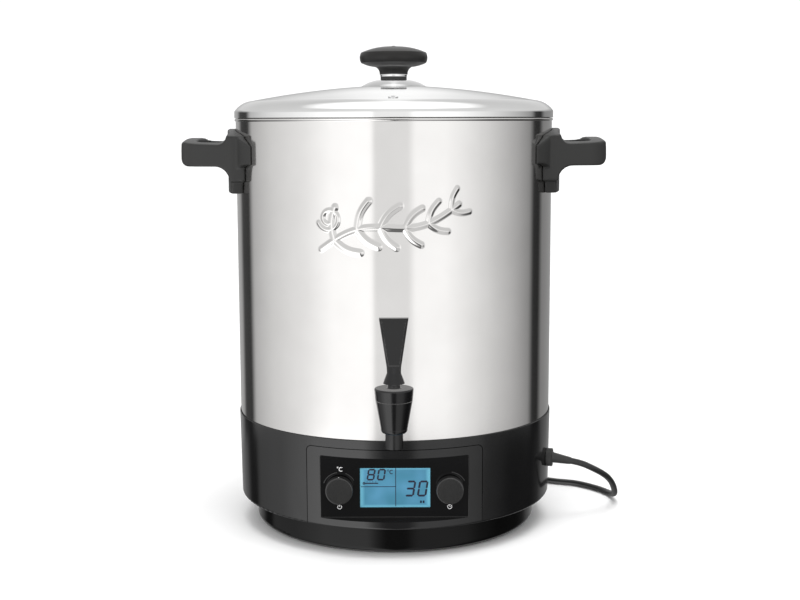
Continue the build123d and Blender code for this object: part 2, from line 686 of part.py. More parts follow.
with BuildPart() as tap_body:
    with BuildSketch(tap_plane):
        with BuildLine():
            Polyline(
                (0, SPOUT_Z + 4), (0, 182), (15.3, 182), (15.3, BONNET_Z0), (18.4, BONNET_Z0), (13.4, 146)
            )
            ThreePointArc((13.4, 146), (12.6, 143), (10.4, 141.4))
            Polyline((10.4, 141.4), (SPOUT_R, 141), (SPOUT_R, SPOUT_Z), (0, SPOUT_Z), (0, SPOUT_Z + 4))
        make_face()
    revolve(axis=TAP_AXIS)
    with BuildSketch(Plane.XZ.offset(POT_R - 17)):
        with Locations((0, TAP_SHANK_Z)):
            Circle(SHANK_R)
    extrude(amount=-TAP_Y - POT_R + 13)
    with BuildSketch(Plane.XZ.offset(-shank_flange_y)):
        with Locations((0, TAP_SHANK_Z)):
            Circle(15)
    extrude(amount=3.5)
    # valve chamber above the seat, and the spout's bore below it
    with BuildSketch(Plane.XY.offset(147)):
        with Locations((0, TAP_Y)):
            Circle(10.8)
    extrude(amount=36, mode=Mode.SUBTRACT)
    with BuildSketch(Plane.XY.offset(SPOUT_Z)):
        with Locations((0, TAP_Y)):
            Circle(6.6)
    extrude(amount=22, mode=Mode.SUBTRACT)
    with BuildSketch(Plane.XZ.offset(POT_R - 18)):
        with Locations((0, TAP_SHANK_Z)):
            Circle(SHANK_BORE_R)
    extrude(amount=-TAP_Y - POT_R + 16, mode=Mode.SUBTRACT)
pieces["tap_body"] = tap_body

NECK_R = 6.4
NECK_TOP_R = 4.6

with BuildPart() as tap_bonnet:
    with BuildSketch(tap_plane):
        with BuildLine():
            Polyline(
                (15.35, BONNET_Z0 + 0.05), (18.45, BONNET_Z0 + 0.05), (BONNET_R, BONNET_Z1 - 0.8),
                (BONNET_R - 0.8, BONNET_Z1), (NECK_R, BONNET_Z1), (NECK_R, 189.6),
                (NECK_TOP_R, 191.4), (NECK_TOP_R, LEVER_PIN_Z + 2), (NECK_TOP_R - 2.4, LEVER_PIN_Z + 4.3),
                (0, LEVER_PIN_Z + 4.3), (0, 182.1), (15.35, 182.1), (15.35, BONNET_Z0 + 0.05),
            )
        make_face()
    revolve(axis=TAP_AXIS)
    with BuildSketch(Plane.XY.offset(BONNET_Z0 - 1)):
        with Locations((0, TAP_Y)):
            with PolarLocations(BONNET_R + 0.4, 12, start_angle=15):
                Rectangle(2.4, 1.6)
    extrude(amount=7, mode=Mode.SUBTRACT)
    with BuildSketch(Plane.XY.offset(180)):
        with Locations((0, TAP_Y)):
            Circle(2.6)
    extrude(amount=13.2, mode=Mode.SUBTRACT)
    with BuildSketch(Plane.YZ.offset(-10)):
        with Locations((TAP_Y, LEVER_PIN_Z)):
            Circle(1.25)
    extrude(amount=20, mode=Mode.SUBTRACT)
pieces["tap_bonnet"] = tap_bonnet

with BuildPart() as tap_lever_pin:
    with BuildSketch(Plane.YZ.offset(-8.6)):
        with Locations((TAP_Y, LEVER_PIN_Z)):
            Circle(1.24)
    extrude(amount=17.2)
pieces["tap_lever_pin"] = tap_lever_pin

with BuildPart() as tap_outer_gasket:
    with BuildSketch(Plane.XZ.offset(-shank_flange_y)):
        with Locations((0, TAP_SHANK_Z)):
            Circle(14)
            Circle(SHANK_R + 0.05, mode=Mode.SUBTRACT)
    extrude(amount=-3)
    with BuildSketch(Plane.XY.offset(TAP_SHANK_Z - 20)):
        Circle(POT_R + 0.02)
    extrude(amount=40, mode=Mode.SUBTRACT)
pieces["tap_outer_gasket"] = tap_outer_gasket

with BuildPart() as tap_inner_gasket:
    with BuildSketch(Plane.XZ.offset(POT_R - WALL - 2.6)):
        with Locations((0, TAP_SHANK_Z)):
            Circle(14)
            Circle(SHANK_R + 0.05, mode=Mode.SUBTRACT)
    extrude(amount=4)
    with BuildSketch(Plane.XY.offset(TAP_SHANK_Z - 20)):
        Circle(POT_R - WALL - 0.02)
    extrude(amount=40, mode=Mode.INTERSECT)
pieces["tap_inner_gasket"] = tap_inner_gasket

with BuildPart() as tap_nut:
    with BuildSketch(Plane.XZ.offset(POT_R - WALL - 2.6)):
        with Locations((0, TAP_SHANK_Z)):
            RegularPolygon(radius=15, side_count=6)
            Circle(SHANK_R + 0.02, mode=Mode.SUBTRACT)
    extrude(amount=-7)
pieces["tap_nut"] = tap_nut

LEVER_NECK_W = 14.2
LEVER_TOP_W = 28.9
LEVER_T = 7.0
LEVER_NECK_Z = 207.0
CONE_TOP_Z = 201.5

with BuildPart() as tap_lever:
    with BuildSketch(tap_plane):
        with BuildLine():
            Polyline(
                (0, 200.9), (5.4, 200.3), (7.7, LEVER_PIN_Z), (9.3, LEVER_CONE_Z), (10.8, LEVER_CONE_Z),
                (LEVER_NECK_W / 2, CONE_TOP_Z), (0, CONE_TOP_Z), (0, 200.9),
            )
        make_face()
    revolve(axis=TAP_AXIS)
    with BuildSketch(Plane.XY.offset(CONE_TOP_Z)):
        with Locations((0, TAP_Y)):
            Circle(LEVER_NECK_W / 2)
    with BuildSketch(Plane.XY.offset(LEVER_NECK_Z)):
        with Locations((0, TAP_Y)):
            RectangleRounded(LEVER_NECK_W, LEVER_T, 1)
    loft()
    with BuildSketch(Plane.XY.offset(LEVER_NECK_Z)):
        with Locations((0, TAP_Y)):
            RectangleRounded(LEVER_NECK_W, LEVER_T, 1)
    with BuildSketch(Plane.XY.offset(LEVER_TOP_Z)):
        with Locations((0, TAP_Y)):
            RectangleRounded(LEVER_TOP_W, LEVER_T, 1)
    loft()
    for face_side in (-1, 1):
        with BuildSketch(Plane.XZ.offset(-TAP_Y + face_side * (LEVER_T / 2 - 1.1))):
            with BuildLine():
                Polyline(
                    (-5.2, LEVER_NECK_Z + 2), (5.2, LEVER_NECK_Z + 2), (11.9, LEVER_TOP_Z - 1.6),
                    (-11.9, LEVER_TOP_Z - 1.6), (-5.2, LEVER_NECK_Z + 2),
                )
            make_face()
        extrude(amount=face_side * 5, mode=Mode.SUBTRACT)
    with BuildSketch(Plane.YZ.offset(-12)):
        with Locations((TAP_Y, LEVER_PIN_Z)):
            Circle(1.3)
    extrude(amount=24, mode=Mode.SUBTRACT)
pieces["tap_lever"] = tap_lever

STEM_R = 2.5
with BuildPart() as tap_stem:
    with BuildSketch(Plane.XY.offset(149)):
        with Locations((0, TAP_Y)):
            Circle(STEM_R)
    extrude(amount=39)
    with BuildSketch(Plane.XY.offset(153.4)):
        with Locations((0, TAP_Y)):
            Circle(8)
    extrude(amount=1.4)
pieces["tap_stem"] = tap_stem

with BuildPart() as tap_seat_cup:
    with BuildSketch(Plane.XY.offset(147.3)):
        with Locations((0, TAP_Y)):
            Circle(9.6)
    extrude(amount=6.1)
    with BuildSketch(Plane.XY.offset(149)):
        with Locations((0, TAP_Y)):
            Circle(STEM_R)
    extrude(amount=10, mode=Mode.SUBTRACT)
    fillet(tap_seat_cup.faces().sort_by(Axis.Z)[0].edges(), radius=1.2)
pieces["tap_seat_cup"] = tap_seat_cup

SPRING_Z0 = 155.4
SPRING_Z1 = 181.2
SPRING_TURNS = 5
SPRING_R = 5.4
spring_height = SPRING_Z1 - SPRING_Z0

with BuildPart() as tap_spring:
    with BuildLine() as spring_path:
        Helix(
            pitch=spring_height / SPRING_TURNS, height=spring_height,
            radius=SPRING_R, center=(0, TAP_Y, SPRING_Z0),
        )
    with BuildSketch(Plane(origin=spring_path.line @ 0, z_dir=spring_path.line % 0)):
        Circle(0.6)
    sweep(path=spring_path.line, is_frenet=True)
pieces["tap_spring"] = tap_spring

# ---------------------------------------------------------------- lid
with BuildPart() as lid_shell:
    with BuildSketch(Plane.XZ):
        with BuildLine():
            Line((LID_RIM_R, LID_RIM_Z), (LID_RIM_R, 457.6))
            ThreePointArc((LID_RIM_R, 457.6), (169.5, 464.4), LID_SHOULDER)
            ThreePointArc(LID_SHOULDER, LID_MID, (0, LID_CENTRE_Z))
            Line((0, LID_CENTRE_Z), (0, LID_CENTRE_Z - WALL))
            ThreePointArc(
                (0, LID_CENTRE_Z - WALL), (LID_MID[0], LID_MID[1] - WALL), (LID_SHOULDER[0] - 0.2, 468.2)
            )
            ThreePointArc((LID_SHOULDER[0] - 0.2, 468.2), (169.0, 463.7), (LID_RIM_R - WALL, 457.3))
            Polyline((LID_RIM_R - WALL, 457.3), (LID_RIM_R - WALL, LID_RIM_Z), (LID_RIM_R, LID_RIM_Z))
        make_face()
        with Locations((171.8, 452)):
            Rectangle(WALL, 20)
    revolve(axis=Axis.Z)
    with BuildSketch(Plane.XY.offset(LID_CENTRE_Z - 5)):
        Circle(2.8)
    extrude(amount=10, mode=Mode.SUBTRACT)
    centre_x, centre_z, dome_radius = dome_circle()
    vent_slope = atan((VENT_R - centre_x) / (lid_height(VENT_R) - centre_z))
    vent_plane = Plane(
        origin=(0, -VENT_R, lid_height(VENT_R)), x_dir=(1, 0, 0), z_dir=(0, -sin(vent_slope), cos(vent_slope))
    )
    with BuildSketch(vent_plane.offset(-4)):
        Circle(3.05)
    extrude(amount=8, mode=Mode.SUBTRACT)
pieces["lid_shell"] = lid_shell

with BuildPart() as steam_vent_eyelet:
    with BuildSketch(vent_plane.offset(0.05)):
        Circle(5)
    extrude(amount=0.8)
    with BuildSketch(vent_plane.offset(-1.9)):
        Circle(3)
    extrude(amount=2)
    with BuildSketch(vent_plane.offset(-1.9)):
        Circle(4.4)
    extrude(amount=0.8)
    with BuildSketch(vent_plane.offset(-3)):
        Circle(2.1)
    extrude(amount=6, mode=Mode.SUBTRACT)
pieces["steam_vent_eyelet"] = steam_vent_eyelet

COLLAR_R = 36.0
COLLAR_TOP_R = 16.0
COLLAR_TOP_Z = 492.0
collar_foot_z = lid_height(COLLAR_R) + 0.1

with BuildPart() as lid_knob_collar:
    with BuildSketch(Plane.XZ):
        with BuildLine():
            ThreePointArc((COLLAR_R, collar_foot_z), (27, 489.4), (COLLAR_TOP_R, COLLAR_TOP_Z))
            Polyline(
                (COLLAR_TOP_R, COLLAR_TOP_Z), (3, COLLAR_TOP_Z), (3, COLLAR_TOP_Z - 1),
                (COLLAR_TOP_R, COLLAR_TOP_Z - 1),
            )
            ThreePointArc((COLLAR_TOP_R, COLLAR_TOP_Z - 1), (26.4, 488.6), (COLLAR_R - 1.4, collar_foot_z))
            Line((COLLAR_R - 1.4, collar_foot_z), (COLLAR_R, collar_foot_z))
        make_face()
    revolve(axis=Axis.Z)
pieces["lid_knob_collar"] = lid_knob_collar

with BuildPart() as lid_knob_seal:
    with BuildSketch(Plane.XY.offset(COLLAR_TOP_Z)):
        Circle(14.5)
        Circle(3, mode=Mode.SUBTRACT)
    extrude(amount=3.3)
pieces["lid_knob_seal"] = lid_knob_seal

with BuildPart() as lid_knob_ring:
    with BuildSketch(Plane.XY.offset(495.3)):
        Circle(14.9)
        Circle(3, mode=Mode.SUBTRACT)
    extrude(amount=2.7)
    fillet(lid_knob_ring.edges().filter_by(GeomType.CIRCLE).sort_by(SortBy.RADIUS)[-2:], radius=0.6)
pieces["lid_knob_ring"] = lid_knob_ring

KNOB_STEM_Z = 498.0
with BuildPart() as lid_knob:
    with BuildSketch(Plane.XZ):
        with BuildLine():
            Line((0, KNOB_STEM_Z), (15.6, KNOB_STEM_Z))
            ThreePointArc((15.6, KNOB_STEM_Z), (16.7, 503), (20.5, 506.3))
            ThreePointArc((20.5, 506.3), (28.5, 507.7), (36, 510.6))
            ThreePointArc((36, 510.6), (37.5, 516), (36, 521.8))
            ThreePointArc((36, 521.8), (19.4, 527.1), (2.8, 528.4))
            Polyline((2.8, 528.4), (1.6, 529.2), (0, 529.2), (0, KNOB_STEM_Z))
        make_face()
    revolve(axis=Axis.Z)
    with BuildSketch(Plane.XY.offset(KNOB_STEM_Z)):
        Circle(2.52)
    extrude(amount=13, mode=Mode.SUBTRACT)
pieces["lid_knob"] = lid_knob

WASHER_R = 8.0
screw_seat_z = lid_height(WASHER_R) - WALL - 1.3
with BuildPart() as lid_knob_washer:
    with BuildSketch(Plane.XY.offset(screw_seat_z)):
        Circle(WASHER_R)
        Circle(2.7, mode=Mode.SUBTRACT)
    extrude(amount=1.2)
pieces["lid_knob_washer"] = lid_knob_washer

with BuildPart() as lid_knob_screw:
    with BuildSketch(Plane.XY.offset(screw_seat_z - 3)):
        Circle(4.6)
    extrude(amount=3)
    with BuildSketch(Plane.XY.offset(screw_seat_z)):
        Circle(2.5)
    extrude(amount=25)
    with BuildSketch(Plane.XY.offset(screw_seat_z - 3)):
        Rectangle(6, 1)
        Rectangle(1, 6)
    extrude(amount=1.6, mode=Mode.SUBTRACT)
pieces["lid_knob_screw"] = lid_knob_screw

# ---------------------------------------------------------------- rack in the pot
with BuildPart() as jar_rack:
    with BuildSketch(Plane.XY.offset(FLOOR_Z + 0.4)):
        Circle(RACK_R)
    extrude(amount=RACK_Z - FLOOR_Z + 0.8)
    with BuildSketch(Plane.XY.offset(FLOOR_Z)):
        Circle(RACK_R - 1.2)
    extrude(amount=RACK_Z - FLOOR_Z, mode=Mode.SUBTRACT)
    with BuildSketch(Plane.XY.offset(RACK_Z - 1)):
        for ring_r, count in ((34, 8), (62, 16), (90, 24), (118, 30), (140, 36)):
            with PolarLocations(ring_r, count):
                Circle(5)
        Circle(13)
    extrude(amount=4, mode=Mode.SUBTRACT)
pieces["jar_rack"] = jar_rack

# ---------------------------------------------------------------- mains cord and plug
gland_out = Vector(cos(radians(GLAND_ANGLE)), sin(radians(GLAND_ANGLE)), 0)
gland_face = gland_out * 181.6 + Vector(0, 0, GLAND_Z)
cord_exit_dir = Vector(1, 0.21, -0.25).normalized()
relief_end = gland_face + cord_exit_dir * RELIEF_LENGTH

with BuildPart() as cord_gland:
    with BuildSketch(radial_plane(GLAND_ANGLE, 163, GLAND_Z)):
        Circle(6.9)
    extrude(amount=14)
    with BuildSketch(radial_plane(GLAND_ANGLE, 163, GLAND_Z)):
        RegularPolygon(radius=11, side_count=6)
    extrude(amount=6)
    with BuildSketch(radial_plane(GLAND_ANGLE, base_radius(GLAND_Z) + 0.3, GLAND_Z)):
        Circle(10)
    extrude(amount=6)
    with BuildSketch(Plane(origin=gland_face - cord_exit_dir * 3, z_dir=cord_exit_dir)):
        Circle(6.2)
    with BuildSketch(Plane(origin=relief_end, z_dir=cord_exit_dir)):
        Circle(CORD_R + 0.5)
    loft()
pieces["cord_gland"] = cord_gland

# The cord leaves the gland, sinks to the table in a wide curve towards the back and
# runs behind the base to its coil.
cord_points = [
    tuple(relief_end),
    tuple(relief_end + cord_exit_dir * 13.5),
    (223, -33, 58),
    (236, -21, 49),
    (247, -5, 38),
    (255, 13, 23.6),
    (260, 33, 8.8),
    (258, 52, 3.6),
    (249, 71, 3.6),
    (235, 88, 3.6),
    (221, 101, 3.6),
    (195, 109, 3.6),
    (176, 123, 3.6),
    (163, 149, 3.6),
    (152, 178, 3.6),
    (134, 215, 3.6),
    (119, 249, 3.6),
]
tail_points = [
    (58, PLUG_Y, 10.6),
    (46, PLUG_Y, 12.4),
    (32, PLUG_Y + 0.5, 16.6),
    (PLUG_REAR_X, PLUG_Y, PLUG_R),
]


def cord_path(points):
    radii = wire_radii(points)
    print("cord arc radii (mm):", [round(r, 1) for r in radii])
    return FilletPolyline(*points, radius=radii)


for name, points in (("mains_cord", cord_points), ("mains_cord_tail", tail_points)):
    with BuildPart() as cord:
        with BuildLine() as path:
            cord_path(points)
        with BuildSketch(Plane(origin=path.line @ 0, z_dir=path.line % 0)):
            Circle(CORD_R)
        sweep(path=path.line)
    length = path.wires()[0].length
    print(name, "length", round(length, 1), "volume ratio", cord.part.volume / (pi * CORD_R**2 * length))
    pieces[name] = cord

COIL_BAND = (COIL_OUTER - 2 * COIL_PITCH - CORD_R - 1, COIL_OUTER + CORD_R + 1)
tie_dir = (cos(radians(TIE_ANGLE)), sin(radians(TIE_ANGLE)), 0)
tie_normal = (sin(radians(TIE_ANGLE)), -cos(radians(TIE_ANGLE)), 0)
tie_plane = Plane(origin=(*COIL_CENTRE, 0), x_dir=tie_dir, z_dir=tie_normal)
tie_mid = (COIL_BAND[0] + COIL_BAND[1]) / 2
tie_width = COIL_BAND[1] - COIL_BAND[0] + 2

with BuildPart() as cord_tie:
    with BuildSketch(tie_plane.offset(-4)):
        with Locations((tie_mid, (COIL_H + 1) / 2)):
            RectangleRounded(tie_width, COIL_H + 1, 3)
            RectangleRounded(tie_width - 2, COIL_H - 1, 2.4, mode=Mode.SUBTRACT)
    extrude(amount=8)
pieces["cord_tie"] = cord_tie

with BuildPart() as mains_cord_coil:
    with BuildSketch(Plane.XY):
        with Locations(COIL_CENTRE):
            Circle(COIL_BAND[1])
            Circle(COIL_BAND[0], mode=Mode.SUBTRACT)
    extrude(amount=COIL_H)
    chamfer(mains_cord_coil.faces().sort_by(Axis.Z)[-1].edges(), length=2.5)
    add(cord_tie.part, mode=Mode.SUBTRACT)
pieces["mains_cord_coil"] = mains_cord_coil

plug_axis = Axis((0, PLUG_Y, PLUG_R), (1, 0, 0))
PLUG_FACE_X = -28.0
with BuildPart() as plug_body:
    with BuildSketch(Plane(origin=(0, PLUG_Y, PLUG_R), x_dir=(1, 0, 0), z_dir=(0, -1, 0))):
        with BuildLine():
            Line((PLUG_REAR_X, 0), (PLUG_REAR_X, 5))
            Spline(
                (PLUG_REAR_X, 5), (PLUG_REAR_X - 14, 7), (PLUG_REAR_X - 25, 13.5), (PLUG_FACE_X + 13, 17.4),
            )
            ThreePointArc((PLUG_FACE_X + 13, 17.4), (PLUG_FACE_X + 7, PLUG_R - 0.05), (PLUG_FACE_X, 17.2))
            Polyline((PLUG_FACE_X, 17.2), (PLUG_FACE_X, 0), (PLUG_REAR_X, 0))
        make_face()
    revolve(axis=plug_axis)
pieces["plug_body"] = plug_body

with BuildPart() as plug_pins:
    for side in (-1, 1):
        with BuildSketch(Plane.YZ.offset(PLUG_FACE_X)):
            with Locations((PLUG_Y + side * PIN_SPACING / 2, PLUG_R)):
                Circle(PIN_R)
        extrude(amount=-PIN_LENGTH)
    fillet(plug_pins.faces().group_by(Axis.X)[0].edges(), radius=1.6)
pieces["plug_pins"] = plug_pins

# ---------------------------------------------------------------- one STEP file per piece
for name, piece in pieces.items():
    piece.part.label = name
    export_step(piece.part, f"parts/{name}.step")
print(len(pieces), "pieces")
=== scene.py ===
"""Looks of the electric brewer: materials, fine pieces, cord, light and camera around the CAD frame.

Lengths are in metres. The pot's axis is the Z axis, the control panel faces -Y.
"""

import json
from math import atan2, ceil, cos, hypot, pi, radians, sin

import bpy
import numpy as np
from mathutils import Matrix, Vector


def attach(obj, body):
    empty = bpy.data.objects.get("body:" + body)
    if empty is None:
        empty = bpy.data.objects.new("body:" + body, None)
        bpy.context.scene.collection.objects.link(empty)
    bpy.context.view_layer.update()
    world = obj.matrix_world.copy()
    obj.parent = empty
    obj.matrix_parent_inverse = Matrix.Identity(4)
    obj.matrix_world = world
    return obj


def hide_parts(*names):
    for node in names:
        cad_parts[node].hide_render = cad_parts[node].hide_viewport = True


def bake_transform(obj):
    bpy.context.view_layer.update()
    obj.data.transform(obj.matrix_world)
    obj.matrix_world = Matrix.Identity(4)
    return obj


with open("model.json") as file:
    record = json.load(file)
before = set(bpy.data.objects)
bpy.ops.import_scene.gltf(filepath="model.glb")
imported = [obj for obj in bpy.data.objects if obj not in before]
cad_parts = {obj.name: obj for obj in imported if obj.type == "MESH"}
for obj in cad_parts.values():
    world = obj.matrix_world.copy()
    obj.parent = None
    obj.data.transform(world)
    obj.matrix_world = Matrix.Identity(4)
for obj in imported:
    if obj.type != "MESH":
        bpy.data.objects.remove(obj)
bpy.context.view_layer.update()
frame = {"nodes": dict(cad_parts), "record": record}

# ---------------------------------------------------------------- camera
CAMERA_AT = (0.0062, -1.4692, 0.44405)
CAMERA_DOWN = 7.69          # degrees below the horizon
CAMERA_ROLL = -0.19
LENS_MM = 58.8

camera = bpy.data.objects.new("camera", bpy.data.cameras.new("camera"))
bpy.context.scene.collection.objects.link(camera)
camera.data.sensor_width = 36.0
camera.data.lens = LENS_MM
camera.data.clip_start = 0.05
camera.data.clip_end = 60.0
look = Matrix.Rotation(radians(90 - CAMERA_DOWN), 4, "X") @ Matrix.Rotation(radians(CAMERA_ROLL), 4, "Z")
camera.matrix_world = Matrix.Translation(CAMERA_AT) @ look
bpy.context.scene.camera = camera

# ---------------------------------------------------------------- mains cord
CORD_D = 0.007
CORD_LIE_Z = 0.0036         # height of a cord that lies on the table
CORD_EXIT = (0.196326, -0.042610, 0.069172)
CORD_ROUTE = [
    CORD_EXIT,
    (0.209159, -0.039915, 0.065963),
    (0.223, -0.033, 0.058),
    (0.236, -0.021, 0.049),
    (0.247, -0.005, 0.038),
    (0.255, 0.013, 0.0236),
    (0.260, 0.033, 0.0088),
    (0.258, 0.052, CORD_LIE_Z),
    (0.249, 0.071, CORD_LIE_Z),
    (0.235, 0.088, CORD_LIE_Z),
    (0.221, 0.101, CORD_LIE_Z),
    (0.195, 0.109, CORD_LIE_Z),
    (0.176, 0.123, CORD_LIE_Z),
    (0.163, 0.149, CORD_LIE_Z),
    (0.152, 0.178, CORD_LIE_Z),
    (0.134, 0.215, CORD_LIE_Z),
    (0.119, 0.249, CORD_LIE_Z),
]
PLUG_Y = 0.285
CORD_TAIL = [
    (0.058, PLUG_Y, 0.0108),
    (0.046, PLUG_Y, 0.0124),
    (0.032, PLUG_Y + 0.0005, 0.0166),
    (0.018, PLUG_Y, 0.018),
]
COIL_CENTRE = (0.070, 0.245)
COIL_OUTER_R = 0.046
COIL_PITCH = 0.0072
COIL_UPPER_Z = 0.0108       # second layer, lying on the first
COIL_START = radians(25.7)
COIL_LOWER_END = COIL_START + 4 * pi
COIL_END = radians(90 + 3 * 360)
COIL_STEP = radians(22)
COIL_CLIMB = radians(70)


def coil_points():
    """Two turns inwards on the table, then more than one turn outwards on top of them."""
    inner_r = COIL_OUTER_R - 2 * COIL_PITCH
    outer_r = PLUG_Y - COIL_CENTRE[1]
    count = ceil((COIL_END - COIL_START) / COIL_STEP)
    points = []
    for i in range(count + 1):
        turn = COIL_START + (COIL_END - COIL_START) * i / count
        if turn <= COIL_LOWER_END:
            radius = COIL_OUTER_R - COIL_PITCH * (turn - COIL_START) / (2 * pi)
            z = CORD_LIE_Z
        else:
            share = (turn - COIL_LOWER_END) / (COIL_END - COIL_LOWER_END)
            climb = min(1.0, (turn - COIL_LOWER_END) / COIL_CLIMB)
            radius = inner_r + (outer_r - inner_r) * share
            z = CORD_LIE_Z + (COIL_UPPER_Z - CORD_LIE_Z) * climb
        points.append((COIL_CENTRE[0] + radius * cos(turn), COIL_CENTRE[1] + radius * sin(turn), z))
    return points


def nurbs_curve(name, points, radius):
    """A round cord along one NURBS spline."""
    data = bpy.data.curves.new(name, "CURVE")
    data.dimensions = "3D"
    data.bevel_depth = 1.0 if radius else 0.0
    data.bevel_resolution = 5
    data.resolution_u = 10
    data.use_fill_caps = True
    spline = data.splines.new("NURBS")
    spline.points.add(len(points) - 1)
    for point, place in zip(spline.points, points):
        point.co = (*place, 1)
        point.radius = radius
    spline.order_u = 3
    spline.use_endpoint_u = True
    piece = bpy.data.objects.new(name, data)
    bpy.context.scene.collection.objects.link(piece)
    return piece


def curve_length(points):
    """Length of the smooth line that a NURBS curve of these points makes."""
    probe = nurbs_curve("probe", points, 0.0)
    mesh = bpy.data.meshes.new_from_object(probe)
    line = [v.co.copy() for v in mesh.vertices]
    bpy.data.meshes.remove(mesh)
    bpy.data.objects.remove(probe)
    return sum((b - a).length for a, b in zip(line, line[1:]))


cord_points = CORD_ROUTE + coil_points() + CORD_TAIL
mains_lead = nurbs_curve("mains_lead", cord_points, CORD_D / 2)
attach(mains_lead, "housing")
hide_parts("mains_cord", "mains_cord_coil", "mains_cord_tail")
curve_length(cord_points)


# ---------------------------------------------------------------- node helpers
class Nodes:
    """Short calls for building a shader tree."""

    def __init__(self, tree):
        self.tree = tree
        self.tree.nodes.clear()

    def add(self, kind, settings=(), **inputs):
        node = self.tree.nodes.new(kind)
        for key, value in dict(settings).items():
            setattr(node, key, value)
        for key, value in inputs.items():
            self.put(node.inputs[key.replace("_", " ")], value)
        return node

    def put(self, socket, value):
        if isinstance(value, bpy.types.NodeSocket):
            self.tree.links.new(value, socket)
        else:
            socket.default_value = value

    def math(self, operation, *values):
        node = self.add("ShaderNodeMath", {"operation": operation})
        for socket, value in zip(node.inputs, values):
            self.put(socket, value)
        return node.outputs[0]

    def ramp(self, factor, stops, interpolation="LINEAR"):
        node = self.add("ShaderNodeValToRGB", Fac=factor)
        node.color_ramp.interpolation = interpolation
        elements = node.color_ramp.elements
        while len(elements) < len(stops):
            elements.new(0.5)
        for element, (place, colour) in zip(elements, stops):
            element.position = place
            element.color = colour if len(colour) == 4 else (*colour, 1)
        return node.outputs["Color"]

    def span(self, value, low, high, to_low=0.0, to_high=1.0):
        node = self.add("ShaderNodeMapRange", {"clamp": True})
        for socket, number in zip(node.inputs, (value, low, high, to_low, to_high)):
            self.put(socket, number)
        return node.outputs[0]

    def noise(self, place, scale, detail=3.0, rough=0.5):
        node = self.add("ShaderNodeTexNoise", Scale=scale, Detail=detail, Roughness=rough)
        self.tree.links.new(place, node.inputs["Vector"])
        return node.outputs["Fac"]

    def stretched(self, place, scale):
        node = self.add("ShaderNodeMapping", Scale=scale)
        self.tree.links.new(place, node.inputs["Vector"])
        return node.outputs[0]


MATT_ROUGH = 0.40           # of the pot's brushed inside
MATT_METAL = 0.60


def grey(value):
    return (value, value, value)


def shade(name, base, dark, **sockets):
    """A material whose colour, roughness and bump come from noise in the object's own frame.

    dark is the second colour of the fine mottle. Nearer to the Z axis than inside_of, a polished
    metal turns matt. The other values are the shader's own.
    """
    rough = sockets.pop("rough")
    rough_spread = sockets.pop("rough_spread", 0.04)
    grain = sockets.pop("grain", 900.0)
    grain_depth = sockets.pop("grain_depth", 0.02)
    brushed = sockets.pop("brushed", None)
    inside_of = sockets.pop("inside_of", None)
    material = bpy.data.materials.new(name)
    material.use_nodes = True
    nodes = Nodes(material.node_tree)
    place = nodes.add("ShaderNodeTexCoord").outputs["Object"]
    wide = nodes.noise(place, 18.0, 4.0)
    fine_place = nodes.stretched(place, brushed) if brushed else place
    fine = nodes.noise(fine_place, grain, 2.0)
    colour = nodes.ramp(wide, [(0.3, dark), (0.7, base)])
    roughness = nodes.span(fine, 0.3, 0.7, rough - rough_spread, rough + rough_spread)
    smear = nodes.span(wide, 0.35, 0.75, -rough_spread / 2, rough_spread / 2)
    if inside_of:
        parts = nodes.add("ShaderNodeSeparateXYZ", Vector=place)
        squares = [nodes.math("MULTIPLY", parts.outputs[i], parts.outputs[i]) for i in (0, 1)]
        radius = nodes.math("SQRT", nodes.math("ADD", *squares))
        inner = nodes.span(radius, inside_of - 0.0001, inside_of + 0.0001, 1.0, 0.0)
        roughness = nodes.math("MAXIMUM", roughness, nodes.math("MULTIPLY", inner, MATT_ROUGH))
        sockets["Metallic"] = nodes.span(inner, 0.0, 1.0, 1.0, MATT_METAL)
    bump = nodes.add("ShaderNodeBump", Strength=grain_depth, Distance=0.0002, Height=fine)
    shader = nodes.add(
        "ShaderNodeBsdfPrincipled",
        Base_Color=colour, Roughness=nodes.math("ADD", roughness, smear), Normal=bump.outputs[0], **sockets,
    )
    out = nodes.add("ShaderNodeOutputMaterial")
    material.node_tree.links.new(shader.outputs[0], out.inputs["Surface"])
    return material


